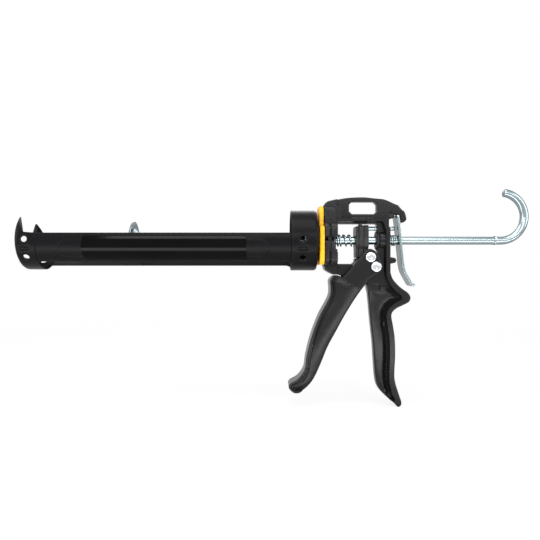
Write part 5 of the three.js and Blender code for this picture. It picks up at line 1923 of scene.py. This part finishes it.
LAMPS = (
    Lamp("lamp_above", (-0.2, -0.35, 1.1), (0, 0, 0.14), (1.6, 0.7), 13),
    Lamp("lamp_right", (1.2, -0.6, 0.5), (0.05, 0, 0.12), (0.5, 0.9), 6.5),
    Lamp("lamp_left", (-1.2, -0.6, 0.45), (-0.1, 0, 0.14), (0.6, 0.9), 5),
    Lamp("lamp_front", (0.1, -0.62, 0.36), (0.1, 0, 0.18), (0.9, 0.07), 2.0),
    Lamp("lamp_low", (0, -0.2, 0.02), (0, -0.01, 0.15), (1.1, 0.045), 1.1),
    Lamp("lamp_behind", (0.2, 1.1, 0.9), (0, 0, 0.14), (1.4, 0.7), 8),
)
# Distances from the floor's middle, in metres, over which it fades, and how white it is at each end.
FLOOR_FADE = {"From Min": 0.25, "From Max": 1.1, "To Min": 0.86, "To Max": 1.0}


@dataclass
class Studio:
    """Pale floor, white surroundings, soft lamps and the camera at the photograph's viewing angle."""

    lens: float = 35.3
    camera_back: float = 512.0
    camera_drop: float = 28.5
    floor_half: float = 6000.0
    surround_light: float = 0.3

    def build(self) -> None:
        """Sets up the studio."""
        self.camera()
        self.floor()
        self.surroundings()
        for lamp in LAMPS:
            lamp.build()
        bpy.context.scene.view_settings.view_transform = "Standard"

    def camera(self) -> None:
        """Level camera on the near side, looking along +Y."""
        data = bpy.data.cameras.new("view_of_photo")
        data.lens, data.sensor_width = self.lens, 36.0
        data.clip_start, data.clip_end = 0.01, 50
        camera = bpy.data.objects.new("view_of_photo", data)
        camera.location = (ROD_ORIGIN + (0, -self.camera_back, -self.camera_drop)) * MM
        camera.rotation_euler = (math.radians(90), 0, 0)
        bpy.context.scene.collection.objects.link(camera)
        bpy.context.scene.camera = camera

    def floor(self) -> None:
        """Pale floor under the gun, nearly white to the camera, that still shows a soft shadow."""
        h = self.floor_half * MM
        mesh = bpy.data.meshes.new("studio_floor")
        mesh.from_pydata([(-h, -h, 0), (h, -h, 0), (h, h, 0), (-h, h, 0)], [], [(0, 1, 2, 3)])
        floor = bpy.data.objects.new("studio_floor", mesh)
        bpy.context.scene.collection.objects.link(floor)
        material = bpy.data.materials.new("studio_floor")
        material.use_nodes = True
        tree = material.node_tree
        shader = tree.nodes["Principled BSDF"]
        shader.inputs["Base Color"].default_value = (0.8, 0.8, 0.8, 1)
        shader.inputs["Roughness"].default_value = 0.9
        shader.inputs["Specular IOR Level"].default_value = 0.0
        place = add_node(tree, "TexCoord").outputs["Object"]
        far = add_node(tree, "VectorMath", feeds={0: place}, operation="LENGTH").outputs["Value"]
        fade = add_node(tree, "MapRange", FLOOR_FADE, {"Value": far}).outputs["Result"]
        share = add_node(tree, "Math", feeds={0: self.any_ray(tree), 1: fade}, operation="MULTIPLY")
        glow = add_node(tree, "Emission").outputs[0]
        mix = add_node(tree, "MixShader", feeds={0: share.outputs[0], 1: shader.outputs[0], 2: glow})
        tree.links.new(mix.outputs[0], tree.nodes["Material Output"].inputs["Surface"])
        mesh.materials.append(material)

    def surroundings(self) -> None:
        """World that is white to the camera and in mirrors, and lights the object low and evenly."""
        world = bpy.data.worlds.new("studio")
        world.use_nodes = True
        bpy.context.scene.world = world
        tree = world.node_tree
        light = tree.nodes["Background"]
        light.inputs["Color"].default_value = (1, 1, 1, 1)
        light.inputs["Strength"].default_value = self.surround_light
        seen = add_node(tree, "Background", {"Color": (1, 1, 1, 1), "Strength": 1.0}).outputs[0]
        mix = add_node(tree, "MixShader", feeds={0: self.any_ray(tree), 1: light.outputs[0], 2: seen})
        tree.links.new(mix.outputs[0], tree.nodes["World Output"].inputs["Surface"])

    def any_ray(self, tree: bpy.types.NodeTree) -> bpy.types.NodeSocket:
        """1 for camera, glossy and transmission rays, 0 for others: the largest of the three."""
        path = add_node(tree, "LightPath")
        found = path.outputs["Is Camera Ray"]
        for name in ("Is Glossy Ray", "Is Transmission Ray"):
            either = add_node(tree, "Math", feeds={0: found, 1: path.outputs[name]}, operation="MAXIMUM")
            found = either.outputs[0]
        return found


def dress_rest() -> None:
    """Gives every CAD node that still shows its slot's finish."""
    finishes = {finish.slot: finish for finish in FINISHES}
    slots = {part["node"]: part["material_slot"] for part in frame["record"]["subparts"]}
    for name, node in frame["nodes"].items():
        for holder in node.material_slots:
            holder.link = "OBJECT"
            holder.material = DRESSER.material(finishes[slots[name]])


def main() -> None:
    """Builds the whole gun and its studio."""
    logging.basicConfig(level=logging.INFO, format="%(name)s: %(message)s")
    dress_rest()
    for part in (Barrel(), PushRod(), Piston(), Hub(), BodyCasting(), Trigger(), DriveHead(),
                 MAIN_SPRING, BRAKE_SPRING, ReleaseLever(), Studio()):
        part.build()
        log.info("%s done", type(part).__name__)


if __name__ == "__main__":
    main()
